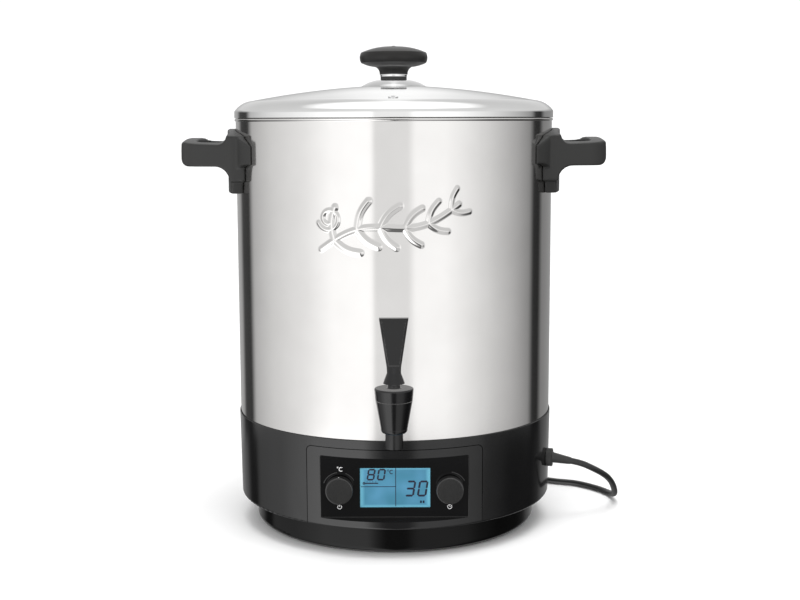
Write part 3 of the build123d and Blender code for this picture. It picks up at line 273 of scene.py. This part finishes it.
STEEL = {"Metallic": 1.0, "rough": 0.09, "rough_spread": 0.02, "grain": 260.0, "grain_depth": 0.004}
BRUSHED_ROUND = (1.0, 1.0, 40.0)
MATERIALS = {
    "pot_steel": shade(
        "pot_steel", (0.66, 0.65, 0.64), (0.62, 0.61, 0.60), brushed=BRUSHED_ROUND, inside_of=0.1746, **STEEL
    ),
    "lid_steel": shade("lid_steel", (0.76, 0.76, 0.755), (0.72, 0.72, 0.715), brushed=BRUSHED_ROUND, **STEEL),
    "chrome_trim": shade(
        "chrome_trim", grey(0.70), grey(0.66), Metallic=1.0, rough=0.06, rough_spread=0.02, grain_depth=0.003
    ),
    "fastener_steel": shade("fastener_steel", grey(0.55), (0.45, 0.45, 0.43), Metallic=1.0, rough=0.32),
    "gloss_black": shade(
        "gloss_black", (0.0045, 0.0045, 0.005), grey(0.003), rough=0.12, rough_spread=0.02,
        grain=700.0, grain_depth=0.006, IOR=1.52,
    ),
    "panel_black": shade(
        "panel_black", (0.0035, 0.0035, 0.004), grey(0.003), rough=0.05, rough_spread=0.01, grain_depth=0.003,
        IOR=1.42,
    ),
    "knob_black": shade(
        "knob_black", (0.014, 0.0135, 0.013), grey(0.010), rough=0.16, rough_spread=0.03, grain_depth=0.006,
        IOR=1.6,
    ),
    "tap_black": shade(
        "tap_black", (0.0045, 0.0045, 0.005), grey(0.003), rough=0.13, rough_spread=0.03, grain=500.0,
        grain_depth=0.01, IOR=1.44,
    ),
    "handle_black": shade(
        "handle_black", (0.015, 0.015, 0.0143), (0.012, 0.012, 0.0115), rough=0.44, rough_spread=0.06,
        grain=1300.0, grain_depth=0.12, IOR=1.43,
    ),
    "lid_knob_black": shade(
        "lid_knob_black", (0.010, 0.0095, 0.009), (0.008, 0.0077, 0.0073), rough=0.38, rough_spread=0.05,
        grain=1300.0, grain_depth=0.08, IOR=1.38,
    ),
    # darker and less reflective than gloss_black: painted shade for the table's shadow round the foot
    "foot_black": shade(
        "foot_black", (0.0022, 0.0022, 0.0022), grey(0.0015), rough=0.13, rough_spread=0.03, grain=700.0,
        grain_depth=0.01, IOR=1.27,
    ),
    "rubber_black": shade(
        "rubber_black", (0.022, 0.022, 0.021), grey(0.016), rough=0.5, rough_spread=0.08, grain_depth=0.1
    ),
    "silicone_white": shade(
        "silicone_white", (0.72, 0.72, 0.69), (0.66, 0.66, 0.63), rough=0.45, grain_depth=0.05,
        Subsurface_Weight=0.15,
    ),
    "lcd_frame": shade("lcd_frame", (0.62, 0.62, 0.60), (0.55, 0.55, 0.54), rough=0.5, grain_depth=0.05),
    "board_green": shade(
        "board_green", (0.02, 0.13, 0.05), (0.015, 0.09, 0.04), rough=0.35, grain=300.0, grain_depth=0.1
    ),
    "component_dark": shade("component_dark", grey(0.05), grey(0.035), rough=0.5, grain_depth=0.1),
    "lead_sleeve": shade("lead_sleeve", (0.42, 0.20, 0.08), (0.36, 0.17, 0.07), rough=0.4, grain_depth=0.04),
    "ribbon_grey": shade(
        "ribbon_grey", grey(0.45), grey(0.32), rough=0.45, grain=420.0, grain_depth=0.2,
        brushed=(1, 0.02, 0.02),
    ),
    "spreader_aluminium": shade(
        "spreader_aluminium", grey(0.75), grey(0.66), Metallic=1.0, rough=0.32, grain_depth=0.08
    ),
    "element_sheath": shade(
        "element_sheath", (0.34, 0.31, 0.28), (0.24, 0.21, 0.19), Metallic=1.0, rough=0.42,
        grain_depth=0.1,
    ),
    "encoder_metal": shade("encoder_metal", grey(0.6), grey(0.5), Metallic=1.0, rough=0.35, grain_depth=0.05),
    "cord_black": shade(
        "cord_black", (0.014, 0.014, 0.014), grey(0.010), rough=0.34, rough_spread=0.06, grain=1500.0,
        grain_depth=0.05,
    ),
    "plug_black": shade(
        "plug_black", (0.016, 0.016, 0.016), grey(0.012), rough=0.38, rough_spread=0.06, grain_depth=0.1
    ),
    "pin_nickel": shade("pin_nickel", (0.72, 0.70, 0.66), (0.66, 0.63, 0.58), Metallic=1.0, rough=0.2),
}

LCD_LOW, LCD_HIGH = (-0.0357, 0.0499), (0.0368, 0.0919)
EDGE_GLOW_FROM = 0.86       # share of the half width where the bright edge begins


def backlight():
    """Backlit display face: blue, brighter towards its edges."""
    material = bpy.data.materials.new("lcd_backlight")
    material.use_nodes = True
    nodes = Nodes(material.node_tree)
    place = nodes.add("ShaderNodeTexCoord").outputs["Object"]
    parts = nodes.add("ShaderNodeSeparateXYZ", Vector=place)
    middle = [(a + b) / 2 for a, b in zip(LCD_LOW, LCD_HIGH)]
    half = [(b - a) / 2 for a, b in zip(LCD_LOW, LCD_HIGH)]
    shares = []
    for socket, centre, reach in zip((parts.outputs[0], parts.outputs[2]), middle, half):
        offset = nodes.math("SUBTRACT", socket, centre)
        shares.append(nodes.math("ABSOLUTE", nodes.math("DIVIDE", offset, reach)))
    edge = nodes.span(nodes.math("MAXIMUM", *shares), EDGE_GLOW_FROM, 1.0)
    cloud = nodes.noise(place, 45.0, 1.0)
    tint = nodes.ramp(cloud, [(0.3, (0.032, 0.150, 0.225)), (0.7, (0.058, 0.200, 0.315))])
    mixed = nodes.add("ShaderNodeMix", {"data_type": "RGBA"})
    nodes.put(mixed.inputs["Factor"], edge)
    nodes.put(mixed.inputs["A"], tint)
    nodes.put(mixed.inputs["B"], (0.12, 0.38, 0.50, 1))
    shader = nodes.add(
        "ShaderNodeBsdfPrincipled",
        Base_Color=mixed.outputs["Result"], Roughness=0.25, Emission_Color=mixed.outputs["Result"],
        Emission_Strength=0.56,
    )
    out = nodes.add("ShaderNodeOutputMaterial")
    material.node_tree.links.new(shader.outputs[0], out.inputs["Surface"])
    return material


MATERIALS["lcd_blue"] = backlight()
SEGMENT_INK = shade("segment_ink", (0.003, 0.005, 0.028), (0.003, 0.004, 0.022), rough=0.6)
WHITE_INK = shade("white_ink", grey(0.85), grey(0.80), rough=0.5, grain_depth=0.05)
# painted highlight: the grey of the crescents above the knobs
PAINTED_HIGHLIGHT_INK = shade("painted_highlight_ink", grey(0.03), grey(0.022), rough=0.5, grain_depth=0.05)

slot_of = {row["node"]: row["material_slot"] for row in frame["record"]["subparts"]}
for node_name, node in frame["nodes"].items():
    node.data.materials.clear()
    node.data.materials.append(MATERIALS[slot_of[node_name]])
mains_lead.data.materials.append(MATERIALS["cord_black"])


# ---------------------------------------------------------------- mesh helpers
def new_piece(name, vertices, faces, material, body, smooth=True):
    """A mesh object from points and faces, riding on a body."""
    mesh = bpy.data.meshes.new(name)
    mesh.from_pydata([tuple(v) for v in vertices], [], [tuple(f) for f in faces])
    mesh.validate()
    mesh.update()
    if smooth:
        mesh.shade_smooth()
    mesh.materials.append(material)
    piece = bpy.data.objects.new(name, mesh)
    bpy.context.scene.collection.objects.link(piece)
    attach(piece, body)
    return piece


def wrap_faces(rows, columns):
    """Quads over a grid of points that closes on itself both ways."""
    faces = []
    for i in range(rows):
        below, above = i * columns, ((i + 1) % rows) * columns
        for j in range(columns):
            k = (j + 1) % columns
            faces.append((below + j, below + k, above + k, above + j))
    return faces


def prisms(name, outlines, y_back, y_front, material, body):
    """Flat shapes in the X-Z plane, each raised from y_back to y_front, joined in one piece."""
    vertices, faces = [], []
    for outline in outlines:
        area = sum(a[0] * b[1] - b[0] * a[1] for a, b in zip(outline, outline[1:] + outline[:1]))
        ring = outline if area > 0 else outline[::-1]
        start, count = len(vertices), len(ring)
        vertices += [(x, y_front, z) for x, z in ring] + [(x, y_back, z) for x, z in ring]
        faces.append([start + i for i in range(count)])
        faces.append([start + count + i for i in reversed(range(count))])
        for i in range(count):
            j = (i + 1) % count
            faces.append([start + j, start + i, start + count + i, start + count + j])
    return new_piece(name, vertices, faces, material, body, smooth=False)


def arc(centre, radius, start, end, count):
    return [
        (centre[0] + radius * cos(radians(start + (end - start) * i / count)),
         centre[1] + radius * sin(radians(start + (end - start) * i / count)))
        for i in range(count + 1)
    ]


def arc_band(centre, radius, width, start, end, count=20):
    """Outline of a curved stroke."""
    outer = arc(centre, radius + width / 2, start, end, count)
    return outer + arc(centre, radius - width / 2, end, start, count)


def bar(a, b, width):
    """Outline of a straight stroke from a to b."""
    dx, dz = b[0] - a[0], b[1] - a[1]
    size = hypot(dx, dz)
    nx, nz = -dz / size * width / 2, dx / size * width / 2
    return [(a[0] + nx, a[1] + nz), (a[0] - nx, a[1] - nz), (b[0] - nx, b[1] - nz), (b[0] + nx, b[1] + nz)]


# ---------------------------------------------------------------- display
LCD_INK_Y = -0.15455
LCD_INK_FRONT_Y = -0.1547
SLANT = 0.16                # lean of the digits
SEGMENTS = {
    "a": ((0, 1), (1, 1)), "b": ((1, 1), (1, 0.5)), "c": ((1, 0.5), (1, 0)), "d": ((0, 0), (1, 0)),
    "e": ((0, 0.5), (0, 0)), "f": ((0, 1), (0, 0.5)), "g": ((0, 0.5), (1, 0.5)),
}
DIGITS = {"8": "abcdefg", "0": "abcdef", "3": "abcdg"}


def segment_digit(digit, x, z, width, height, stroke):
    """Slanted seven-segment digit with pointed bar ends, lower left corner at x, z."""
    shapes = []
    for key in DIGITS[digit]:
        (ax, az), (bx, bz) = SEGMENTS[key]
        a = Vector((x + ax * width, z + az * height))
        b = Vector((x + bx * width, z + bz * height))
        along = (b - a).normalized()
        side = Vector((-along.y, along.x)) * stroke / 2
        a += along * stroke * 0.08
        b -= along * stroke * 0.08
        tip = along * stroke * 0.42
        ring = [a, a + tip - side, b - tip - side, b, b - tip + side, a + tip + side]
        shapes.append([(p.x + (p.y - z) * SLANT, p.y) for p in ring])
    return shapes


display = []
for digit, x in (("8", -0.0283), ("0", -0.0177)):
    display += segment_digit(digit, x, 0.0791, 0.0064, 0.0106, 0.0017)
for digit, x in (("3", 0.0112), ("0", 0.0240)):
    display += segment_digit(digit, x, 0.0620, 0.0078, 0.0150, 0.0020)
display.append(arc_band((-0.0066, 0.0889), 0.0008, 0.0004, 0, 360))
display.append(arc_band((-0.0031, 0.0872), 0.0019, 0.0008, 55, 305))
LCD_MID_X = 0.0011
LCD_MID_Z = 0.0716
display.append(bar((LCD_MID_X, LCD_LOW[1] + 0.0008), (LCD_MID_X, LCD_HIGH[1] - 0.0008), 0.0007))
display.append(bar((LCD_LOW[0] + 0.0008, LCD_MID_Z), (LCD_MID_X, LCD_MID_Z), 0.0006))
# small pictograms: a thermometer under the temperature and an hourglass under the time
display.append(bar((-0.0310, 0.0752), (-0.0170, 0.0752), 0.0011))
display.append(arc_band((-0.0318, 0.0752), 0.0009, 0.0009, 0, 360))
for tick in range(4):
    display.append(bar((-0.0285 + 0.003 * tick, 0.0763), (-0.0285 + 0.003 * tick, 0.0774), 0.0005))
for x in (0.0272, 0.0300):
    display.append([(x - 0.0009, 0.0567), (x + 0.0009, 0.0567), (x - 0.0009, 0.0541), (x + 0.0009, 0.0541)])
prisms("display_segments", display, LCD_INK_Y, LCD_INK_FRONT_Y, SEGMENT_INK, "housing")

# ---------------------------------------------------------------- marks on the panel
WINDOW_FRONT_Y = -0.157
INK_FRONT_Y = WINDOW_FRONT_Y - 0.00012
KNOB_X = 0.057
KNOB_Z = 0.0704
LABEL_Z = 0.0508
marks = [arc_band((-0.0587, 0.0928), 0.0006, 0.0005, 0, 360)]
marks.append(arc_band((-0.0552, 0.0908), 0.0020, 0.0008, 50, 310))
marks.append(arc_band((-KNOB_X, LABEL_Z), 0.0021, 0.0006, 120, 420))
marks.append(bar((-KNOB_X, LABEL_Z + 0.0003), (-KNOB_X, LABEL_Z + 0.0030), 0.0006))
marks.append(arc_band((KNOB_X, LABEL_Z), 0.0022, 0.0006, 0, 360))
marks.append(bar((KNOB_X, LABEL_Z), (KNOB_X, LABEL_Z + 0.0015), 0.0005))
marks.append(bar((KNOB_X, LABEL_Z), (KNOB_X + 0.0011, LABEL_Z), 0.0005))
prisms("panel_marks", marks, WINDOW_FRONT_Y + 0.0001, INK_FRONT_Y, WHITE_INK, "housing")

# grey crescents over the upper side of each knob, painted highlights where the panel round the knob catches
# the light
highlight_arcs = [arc_band((x, KNOB_Z), 0.0172, 0.0009, start, end) for x, start, end in (
    (-KNOB_X, 98, 160), (-KNOB_X, 30, 68), (KNOB_X, 28, 84),
)]
prisms("panel_painted_highlight_arcs", highlight_arcs, WINDOW_FRONT_Y + 0.0001, INK_FRONT_Y, PAINTED_HIGHLIGHT_INK, "housing")

WINDOW_CORNERS = ((-0.0767, 0.0398), (0.0767, 0.0398), (0.0767, 0.1061), (-0.0767, 0.1061))
BEAD_SECTION = 0.0004


def window_bead():
    """Thin raised moulding round the window, which catches the light."""
    count = 10
    vertices, faces = [], []
    for x, z in WINDOW_CORNERS:
        out = (1 if x > 0 else -1, 1 if z > 0.07 else -1)
        for i in range(count):
            a = 2 * pi * i / count
            reach = BEAD_SECTION * cos(a)
            vertices.append((x + out[0] * reach, WINDOW_FRONT_Y - BEAD_SECTION * sin(a), z + out[1] * reach))
    for corner in range(4):
        here, there = corner * count, ((corner + 1) % 4) * count
        for i in range(count):
            j = (i + 1) % count
            faces.append((here + i, here + j, there + j, there + i))
    return new_piece("window_bead", vertices, faces, MATERIALS["knob_black"], "housing")


window_bead()

KNOB_MARK_Y = (-0.1662, -0.1676)
KNOB_TOP_Z = 0.0846
INDEX_RISE = (-0.0004, 0.00012)  # foot and top of the dial's index over the knob
index = [(0.0006 * cos(a) - 0.0003, 0.0006 * sin(a)) for a in (2 * pi * i / 16 for i in range(16))]
mark_vertices = [
    (x - KNOB_X, KNOB_MARK_Y[0] + y, KNOB_TOP_Z + rise) for rise in INDEX_RISE for x, y in index
]
mark_faces = [list(range(15, -1, -1)), list(range(16, 32))]
mark_faces += [[i, (i + 1) % 16, 16 + (i + 1) % 16, 16 + i] for i in range(16)]
new_piece("temp_knob_index", mark_vertices, mark_faces, WHITE_INK, "temp_dial", smooth=False)

# ---------------------------------------------------------------- pot with its pressed sprig
POT_R = 0.175
WALL = 0.0008
SKIRT_Z = 0.119
FLOOR_Z = 0.128
RIM_Z = 0.450
BEAD_R = 0.0016
CORNER_R = 0.012
RELIEF_H = 0.0015
RELIEF_Z = (0.300, 0.388)
RELIEF_ANGLE = (radians(-33), radians(30))
FINE = 0.0006               # mesh size in the relief


def sprig_strokes():
    """Centre lines of the pressed ornament, as (points, half width) in the unrolled wall."""
    strokes = []

    def stem(t):
        return -0.075 + 0.142 * t, 0.3190 + 0.045 * t + 0.0085 * sin(2 * pi * t)

    strokes.append(([stem(i / 60) for i in range(61)], 0.0040))
    leaf_count = 6
    for i in range(leaf_count):
        t = 0.10 + 0.84 * i / (leaf_count - 1)
        x, z = stem(t)
        ahead = stem(t + 0.01)
        heading = atan2(ahead[1] - z, ahead[0] - x)
        for side in (-1, 1):
            size = 0.0325 * (1 - 0.36 * t) * (0.90 if side < 0 else 1.0)
            lean = heading + side * radians(58 - 20 * t)
            along = (cos(lean), sin(lean))
            across = (-along[1], along[0])
            rib = []
            for k in range(12):
                far = size * (0.05 + 1.0 * k / 11)
                bow = side * 0.10 * size * sin(pi * k / 11)
                rib.append((x + along[0] * far + across[0] * bow, z + along[1] * far + across[1] * bow))
            strokes.append((rib, 0.0050 * (1 - 0.30 * t)))
    curl = []
    for i in range(50):
        turn = radians(200 + 11 * i)
        radius = 0.0125 * (1 - 0.015 * i)
        curl.append((-0.0660 + radius * cos(turn), 0.3500 + radius * sin(turn)))
    strokes.append((curl, 0.0032))
    return strokes


def relief_height(across, up):
    """Height of the ornament over the wall at each point: rounded ridges along its strokes."""
    height = np.zeros_like(across)
    for points, half in sprig_strokes():
        line = np.array(points)
        low, high = line.min(0) - half, line.max(0) + half
        near = (across > low[0]) & (across < high[0]) & (up > low[1]) & (up < high[1])
        if not near.any():
            continue
        px, pz = across[near], up[near]
        best = np.full(px.shape, 1.0)
        for a, b in zip(line, line[1:]):
            d = b - a
            t = np.clip(((px - a[0]) * d[0] + (pz - a[1]) * d[1]) / (d @ d), 0, 1)
            best = np.minimum(best, np.hypot(px - a[0] - t * d[0], pz - a[1] - t * d[1]))
        share = np.clip(1 - best / half, 0, 1)
        ridge = RELIEF_H * min(1.0, half / 0.0026) * share * share * (3 - 2 * share)
        height[near] = np.maximum(height[near], ridge)
    return height


def pot_profile():
    """Closed outline of the pot's wall, rim and floor, as (radius, z, on the outer wall)."""
    fine_rows = int((RELIEF_Z[1] - RELIEF_Z[0]) / FINE)
    profile = [(POT_R, SKIRT_Z, True), (POT_R, SKIRT_Z + 0.0003, True)]
    profile += [(POT_R, z, True) for z in np.linspace(SKIRT_Z + 0.001, RELIEF_Z[0], 10)]
    profile += [(POT_R, z, True) for z in np.linspace(*RELIEF_Z, fine_rows)[1:]]
    profile += [(POT_R, z, True) for z in np.linspace(RELIEF_Z[1], RIM_Z - 2.1 * BEAD_R - 0.0004, 6)[1:]]
    profile.append((POT_R, RIM_Z - 2.1 * BEAD_R, False))
    bead = (POT_R - WALL / 2, RIM_Z - BEAD_R)
    for i in range(15):
        a = radians(-65 + 310 * i / 14)
        profile.append((bead[0] + BEAD_R * cos(a), bead[1] + BEAD_R * sin(a), False))
    inner = POT_R - WALL
    profile += [(inner, z, False) for z in np.linspace(RIM_Z - 2.1 * BEAD_R, FLOOR_Z + CORNER_R, 6)]
    for i in range(1, 9):
        a = radians(-90 * i / 8)
        profile.append((inner - CORNER_R + CORNER_R * cos(a), FLOOR_Z + CORNER_R + CORNER_R * sin(a), False))
    profile += [(r, FLOOR_Z, False) for r in (0.150, 0.100, 0.050, 0.002)]
    profile += [(r, FLOOR_Z - WALL, False) for r in (0.002, 0.080, inner - CORNER_R)]
    outer_r = CORNER_R + WALL
    for i in range(1, 9):
        a = radians(-90 + 90 * i / 8)
        place = (inner - CORNER_R + outer_r * cos(a), FLOOR_Z + CORNER_R + outer_r * sin(a))
        profile.append((min(place[0], inner), place[1], False))
    profile += [(inner, SKIRT_Z + 0.004, False), (inner, SKIRT_Z, False)]
    return profile


def make_pot():
    profile = pot_profile()
    fine_columns = int((RELIEF_ANGLE[1] - RELIEF_ANGLE[0]) * POT_R / FINE)
    front = np.linspace(*RELIEF_ANGLE, fine_columns)
    rest = np.linspace(RELIEF_ANGLE[1], RELIEF_ANGLE[0] + 2 * pi, 150)[1:-1]
    angles = np.concatenate([front, rest])
    radius = np.array([p[0] for p in profile])[:, None] * np.ones(len(angles))
    height = np.array([p[1] for p in profile])[:, None] * np.ones(len(angles))
    wall = np.array([p[2] for p in profile])
    across = POT_R * np.where(angles > pi, angles - 2 * pi, angles)[None, :] * np.ones((wall.sum(), 1))
    radius[wall] += relief_height(across, height[wall])
    x = radius * np.sin(angles)
    y = -radius * np.cos(angles)
    vertices = np.stack([x, y, height], -1).reshape(-1, 3)
    faces = wrap_faces(*radius.shape)
    pot = new_piece("pot_with_sprig", vertices, faces, MATERIALS["pot_steel"], "housing")
    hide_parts("pot_vessel")
    return pot


make_pot()

# ---------------------------------------------------------------- lid, turned from its outline
LID_R = 0.1763
LID_RIM_Z = 0.4503
LID_SHOULDER = (0.1568, 0.4690)
LID_MID = (0.0826, 0.4804)
LID_TOP_Z = 0.4863
LID_BAND_TOP_Z = 0.4576     # top of the upright band, where the outline turns inwards
LID_TURN = (0.1695, 0.4644)
LID_BORE_R = 0.0025         # hole for the knob's screw
# the lid's inner skirt, which drops into the pot
LID_SKIRT = [
    (0.1692, 0.4632), (0.1722, 0.4612), (0.1722, 0.4420), (0.1714, 0.4420), (0.1714, 0.4608), (0.1722, 0.4614),
]


def circle_through(a, b, c):
    """Centre and radius of the circle through three points."""
    d = 2 * (a[0] * (b[1] - c[1]) + b[0] * (c[1] - a[1]) + c[0] * (a[1] - b[1]))
    sa, sb, sc = (p[0] ** 2 + p[1] ** 2 for p in (a, b, c))
    x = (sa * (b[1] - c[1]) + sb * (c[1] - a[1]) + sc * (a[1] - b[1])) / d
    z = (sa * (c[0] - b[0]) + sb * (a[0] - c[0]) + sc * (b[0] - a[0])) / d
    return x, z, hypot(a[0] - x, a[1] - z)


def arc_through(a, b, c, count):
    """Points of the arc from a through b to c."""
    x, z, radius = circle_through(a, b, c)
    turns = [atan2(p[1] - z, p[0] - x) for p in (a, b, c)]
    start, end = turns[0], turns[2]
    turns = [start + (end - start) * i / count for i in range(count + 1)]
    return [(x + radius * cos(turn), z + radius * sin(turn)) for turn in turns]


def turned(name, outline, count, material, body):
    """A closed outline in (radius, z) turned round the pot's axis."""
    turns = [2 * pi * j / count for j in range(count)]
    vertices = [(radius * sin(turn), -radius * cos(turn), z) for radius, z in outline for turn in turns]
    return new_piece(name, vertices, wrap_faces(len(outline), count), material, body)


def make_lid():
    band = [(LID_R, z) for z in (LID_RIM_Z, LID_RIM_Z + 0.0003, 0.4527, 0.4552, LID_BAND_TOP_Z)]
    band += arc_through(band[-1], LID_TURN, LID_SHOULDER, 10)[1:]
    dome = arc_through(LID_SHOULDER, LID_MID, (0, LID_TOP_Z), 30)[1:]
    outline = band + [p for p in dome if p[0] > LID_BORE_R]
    outline += [(r, z - WALL) for r, z in reversed(outline[len(band) - 1:])]
    outline += LID_SKIRT
    outline += [(LID_R - WALL, 0.4572), (LID_R - WALL, LID_RIM_Z)]
    lid = turned("lid_dome", outline, 160, MATERIALS["lid_steel"], "lid")
    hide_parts("lid_shell")


make_lid()


# ---------------------------------------------------------------- moulded parts with rounded edges
def softened(name, node, voxel, passes, body, slot):
    """A copy of a CAD piece with its sharp edges rounded, as a moulding has them."""
    piece = bpy.data.objects.new(name, frame["nodes"][node].data.copy())
    bpy.context.scene.collection.objects.link(piece)
    remesh = piece.modifiers.new("remesh", "REMESH")
    remesh.mode = "VOXEL"
    remesh.voxel_size = voxel
    remesh.adaptivity = 0.0
    smooth = piece.modifiers.new("smooth", "SMOOTH")
    smooth.factor = 0.5
    smooth.iterations = passes
    graph = bpy.context.evaluated_depsgraph_get()
    mesh = bpy.data.meshes.new_from_object(piece.evaluated_get(graph))
    piece.modifiers.clear()
    piece.data = mesh
    mesh.name = name
    mesh.shade_smooth()
    mesh.materials.clear()
    mesh.materials.append(MATERIALS[slot])
    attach(piece, body)
    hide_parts(node)
    return piece


softened("right_grip", "right_handle", 0.0011, 7, "housing", "handle_black")
softened("left_grip", "left_handle", 0.0011, 7, "housing", "handle_black")
softened("tap_bonnet_soft", "tap_bonnet", 0.0005, 3, "housing", "tap_black").visible_glossy = False
softened("temp_knob_soft", "temp_knob", 0.0004, 3, "temp_dial", "knob_black")
softened("timer_knob_soft", "timer_knob", 0.0004, 3, "timer_dial", "knob_black")


def tap_coils():
    """A fixed copy of the tap's spring, which the bonnet holds at its top and the valve pushes up at its foot.
    """
    piece = bpy.data.objects.new("tap_spring_coils", frame["nodes"]["tap_spring"].data.copy())
    bpy.context.scene.collection.objects.link(piece)
    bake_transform(piece)
    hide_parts("tap_spring")
    piece.visible_glossy = False


tap_coils()

# the polished steel does not mirror these
UNMIRRORED = (
    "lid_knob", "lid_knob_screw", "tap_lever", "tap_lever_pin", "tap_body", "tap_stem", "tap_seat_cup",
    "tap_outer_gasket",
)
for node_name in UNMIRRORED:
    frame["nodes"][node_name].visible_glossy = False

# ---------------------------------------------------------------- stage and light
STAGE_R = 3.2
STAGE_CURVE = 1.2
STAGE_H = 4.5
STAGE_DROP = 0.0002         # the floor lies this far under the foot


def make_stage():
    """Pale floor that curves up all round into a backdrop."""
    profile = [(r, 0.0) for r in (0.0005, 0.6, 1.2, STAGE_R - STAGE_CURVE)]
    profile += [
        (STAGE_R - STAGE_CURVE + STAGE_CURVE * sin(a), STAGE_CURVE * (1 - cos(a)))
        for a in (radians(90 * i / 12) for i in range(1, 13))
    ]
    profile.append((STAGE_R, STAGE_H))
    count = 96
    turns = [2 * pi * j / count for j in range(count)]
    vertices = [(r * cos(turn), r * sin(turn), z - STAGE_DROP) for r, z in profile for turn in turns]
    faces = [
        (i * count + j, i * count + (j + 1) % count, (i + 1) * count + (j + 1) % count, (i + 1) * count + j)
        for i in range(len(profile) - 1)
        for j in range(count)
    ]
    faces.append(list(range(count - 1, -1, -1)))
    mesh = bpy.data.meshes.new("studio_floor")
    mesh.from_pydata(vertices, [], faces)
    mesh.shade_smooth()
    material = shade("studio_white", grey(0.86), grey(0.85), rough=0.7, grain=30.0, grain_depth=0.01)
    mesh.materials.append(material)
    floor = bpy.data.objects.new("studio_floor", mesh)
    bpy.context.scene.collection.objects.link(floor)
    floor.visible_glossy = False
    floor.visible_diffuse = False
    floor.visible_shadow = False


make_stage()

# Brightness of the studio round the pot, by direction: 0 is towards the front, degrees to its right.
STUDIO_BAND = (
    (-180, 0.46), (-160, 0.46), (-150, 0.40), (-143, 0.07), (-129, 0.05), (-122, 0.60), (-98, 0.92),
    (-66, 1.20), (-44, 1.52), (-16, 1.58), (-13, 1.10), (10, 1.12), (15, 1.46), (36, 1.46), (52, 1.25),
    (78, 0.84), (95, 0.62), (114, 0.36), (120, 0.04), (129, 0.03), (136, 0.28), (160, 0.34), (180, 0.46),
)
# The same below the table's edge, which only low, dark parts reflect.
TABLE_BAND = (
    (-180, 0.40), (-150, 0.30), (-142, 0.25), (-134, 0.04), (-124, 0.04), (-118, 0.35), (-110, 0.45),
    (-90, 0.78), (-70, 1.50), (-58, 2.00), (-30, 2.20), (-22, 2.20), (-15, 0.90), (-8, 0.20), (10, 0.20),
    (18, 0.90), (40, 0.90), (60, 0.70), (72, 0.28), (92, 0.06), (120, 0.04), (132, 0.10), (140, 0.30),
    (160, 0.40), (180, 0.40),
)
# The same above the horizon, as the lid sees it.
SKY_BAND = (
    (-180, 1.15), (-178, 1.12), (-175, 0.86), (-165, 0.78), (-150, 0.74), (-90, 0.85), (0, 1.00), (90, 0.85),
    (150, 0.74), (165, 0.78), (175, 0.86), (178, 1.12), (180, 1.15),
)
ZENITH = 2.2
BAND_TOP = 2.5


def make_world():
    world = bpy.data.worlds.new("studio")
    bpy.context.scene.world = world
    world.use_nodes = True
    nodes = Nodes(world.node_tree)
    direction = nodes.add("ShaderNodeTexCoord").outputs["Generated"]
    parts = nodes.add("ShaderNodeSeparateXYZ", Vector=direction)
    turn = nodes.math("ARCTAN2", parts.outputs[0], nodes.math("MULTIPLY", parts.outputs[1], -1.0))
    share = nodes.span(turn, -pi, pi)
    band, table, sky = (
        nodes.ramp(share, [((a + 180) / 360, grey(v / BAND_TOP)) for a, v in stops])
        for stops in (STUDIO_BAND, TABLE_BAND, SKY_BAND)
    )
    rise = parts.outputs[2]
    low = nodes.add("ShaderNodeMix", {"data_type": "RGBA"})
    nodes.put(low.inputs["Factor"], nodes.span(rise, -0.2470, -0.2400))
    nodes.put(low.inputs["A"], table)
    nodes.put(low.inputs["B"], band)
    high = nodes.add("ShaderNodeMix", {"data_type": "RGBA"})
    nodes.put(high.inputs["Factor"], nodes.span(rise, 0.08, 0.25))
    nodes.put(high.inputs["A"], low.outputs["Result"])
    nodes.put(high.inputs["B"], sky)
    top = nodes.add("ShaderNodeMix", {"data_type": "RGBA"})
    nodes.put(top.inputs["Factor"], nodes.span(rise, 0.80, 0.97))
    nodes.put(top.inputs["A"], high.outputs["Result"])
    nodes.put(top.inputs["B"], (*grey(ZENITH / BAND_TOP), 1))
    light = nodes.add("ShaderNodeBackground", Color=top.outputs["Result"], Strength=BAND_TOP)
    pale = nodes.add("ShaderNodeBackground", Color=(1, 1, 1, 1), Strength=1.0)
    path = nodes.add("ShaderNodeLightPath")
    mix = nodes.add("ShaderNodeMixShader")
    nodes.put(mix.inputs[0], path.outputs["Is Camera Ray"])
    nodes.put(mix.inputs[1], light.outputs[0])
    nodes.put(mix.inputs[2], pale.outputs[0])
    out = nodes.add("ShaderNodeOutputWorld")
    world.node_tree.links.new(mix.outputs[0], out.inputs["Surface"])


make_world()


def softbox(name, place, target, size, power, glossy):
    data = bpy.data.lights.new(name, "AREA")
    data.shape = "RECTANGLE"
    data.size, data.size_y = size
    data.energy = power
    lamp = bpy.data.objects.new(name, data)
    bpy.context.scene.collection.objects.link(lamp)
    lamp.location = place
    lamp.rotation_euler = (Vector(target) - Vector(place)).to_track_quat("-Z", "Y").to_euler()
    lamp.visible_glossy = glossy


softbox("top_softbox", (0.2, -0.4, 2.4), (0, 0, 0.2), (1.6, 1.6), 40.0, False)
softbox("front_fill", (-1.0, -2.2, 1.5), (0, 0, 0.25), (1.2, 1.2), 10.0, False)

bpy.context.scene.view_settings.view_transform = "Standard"
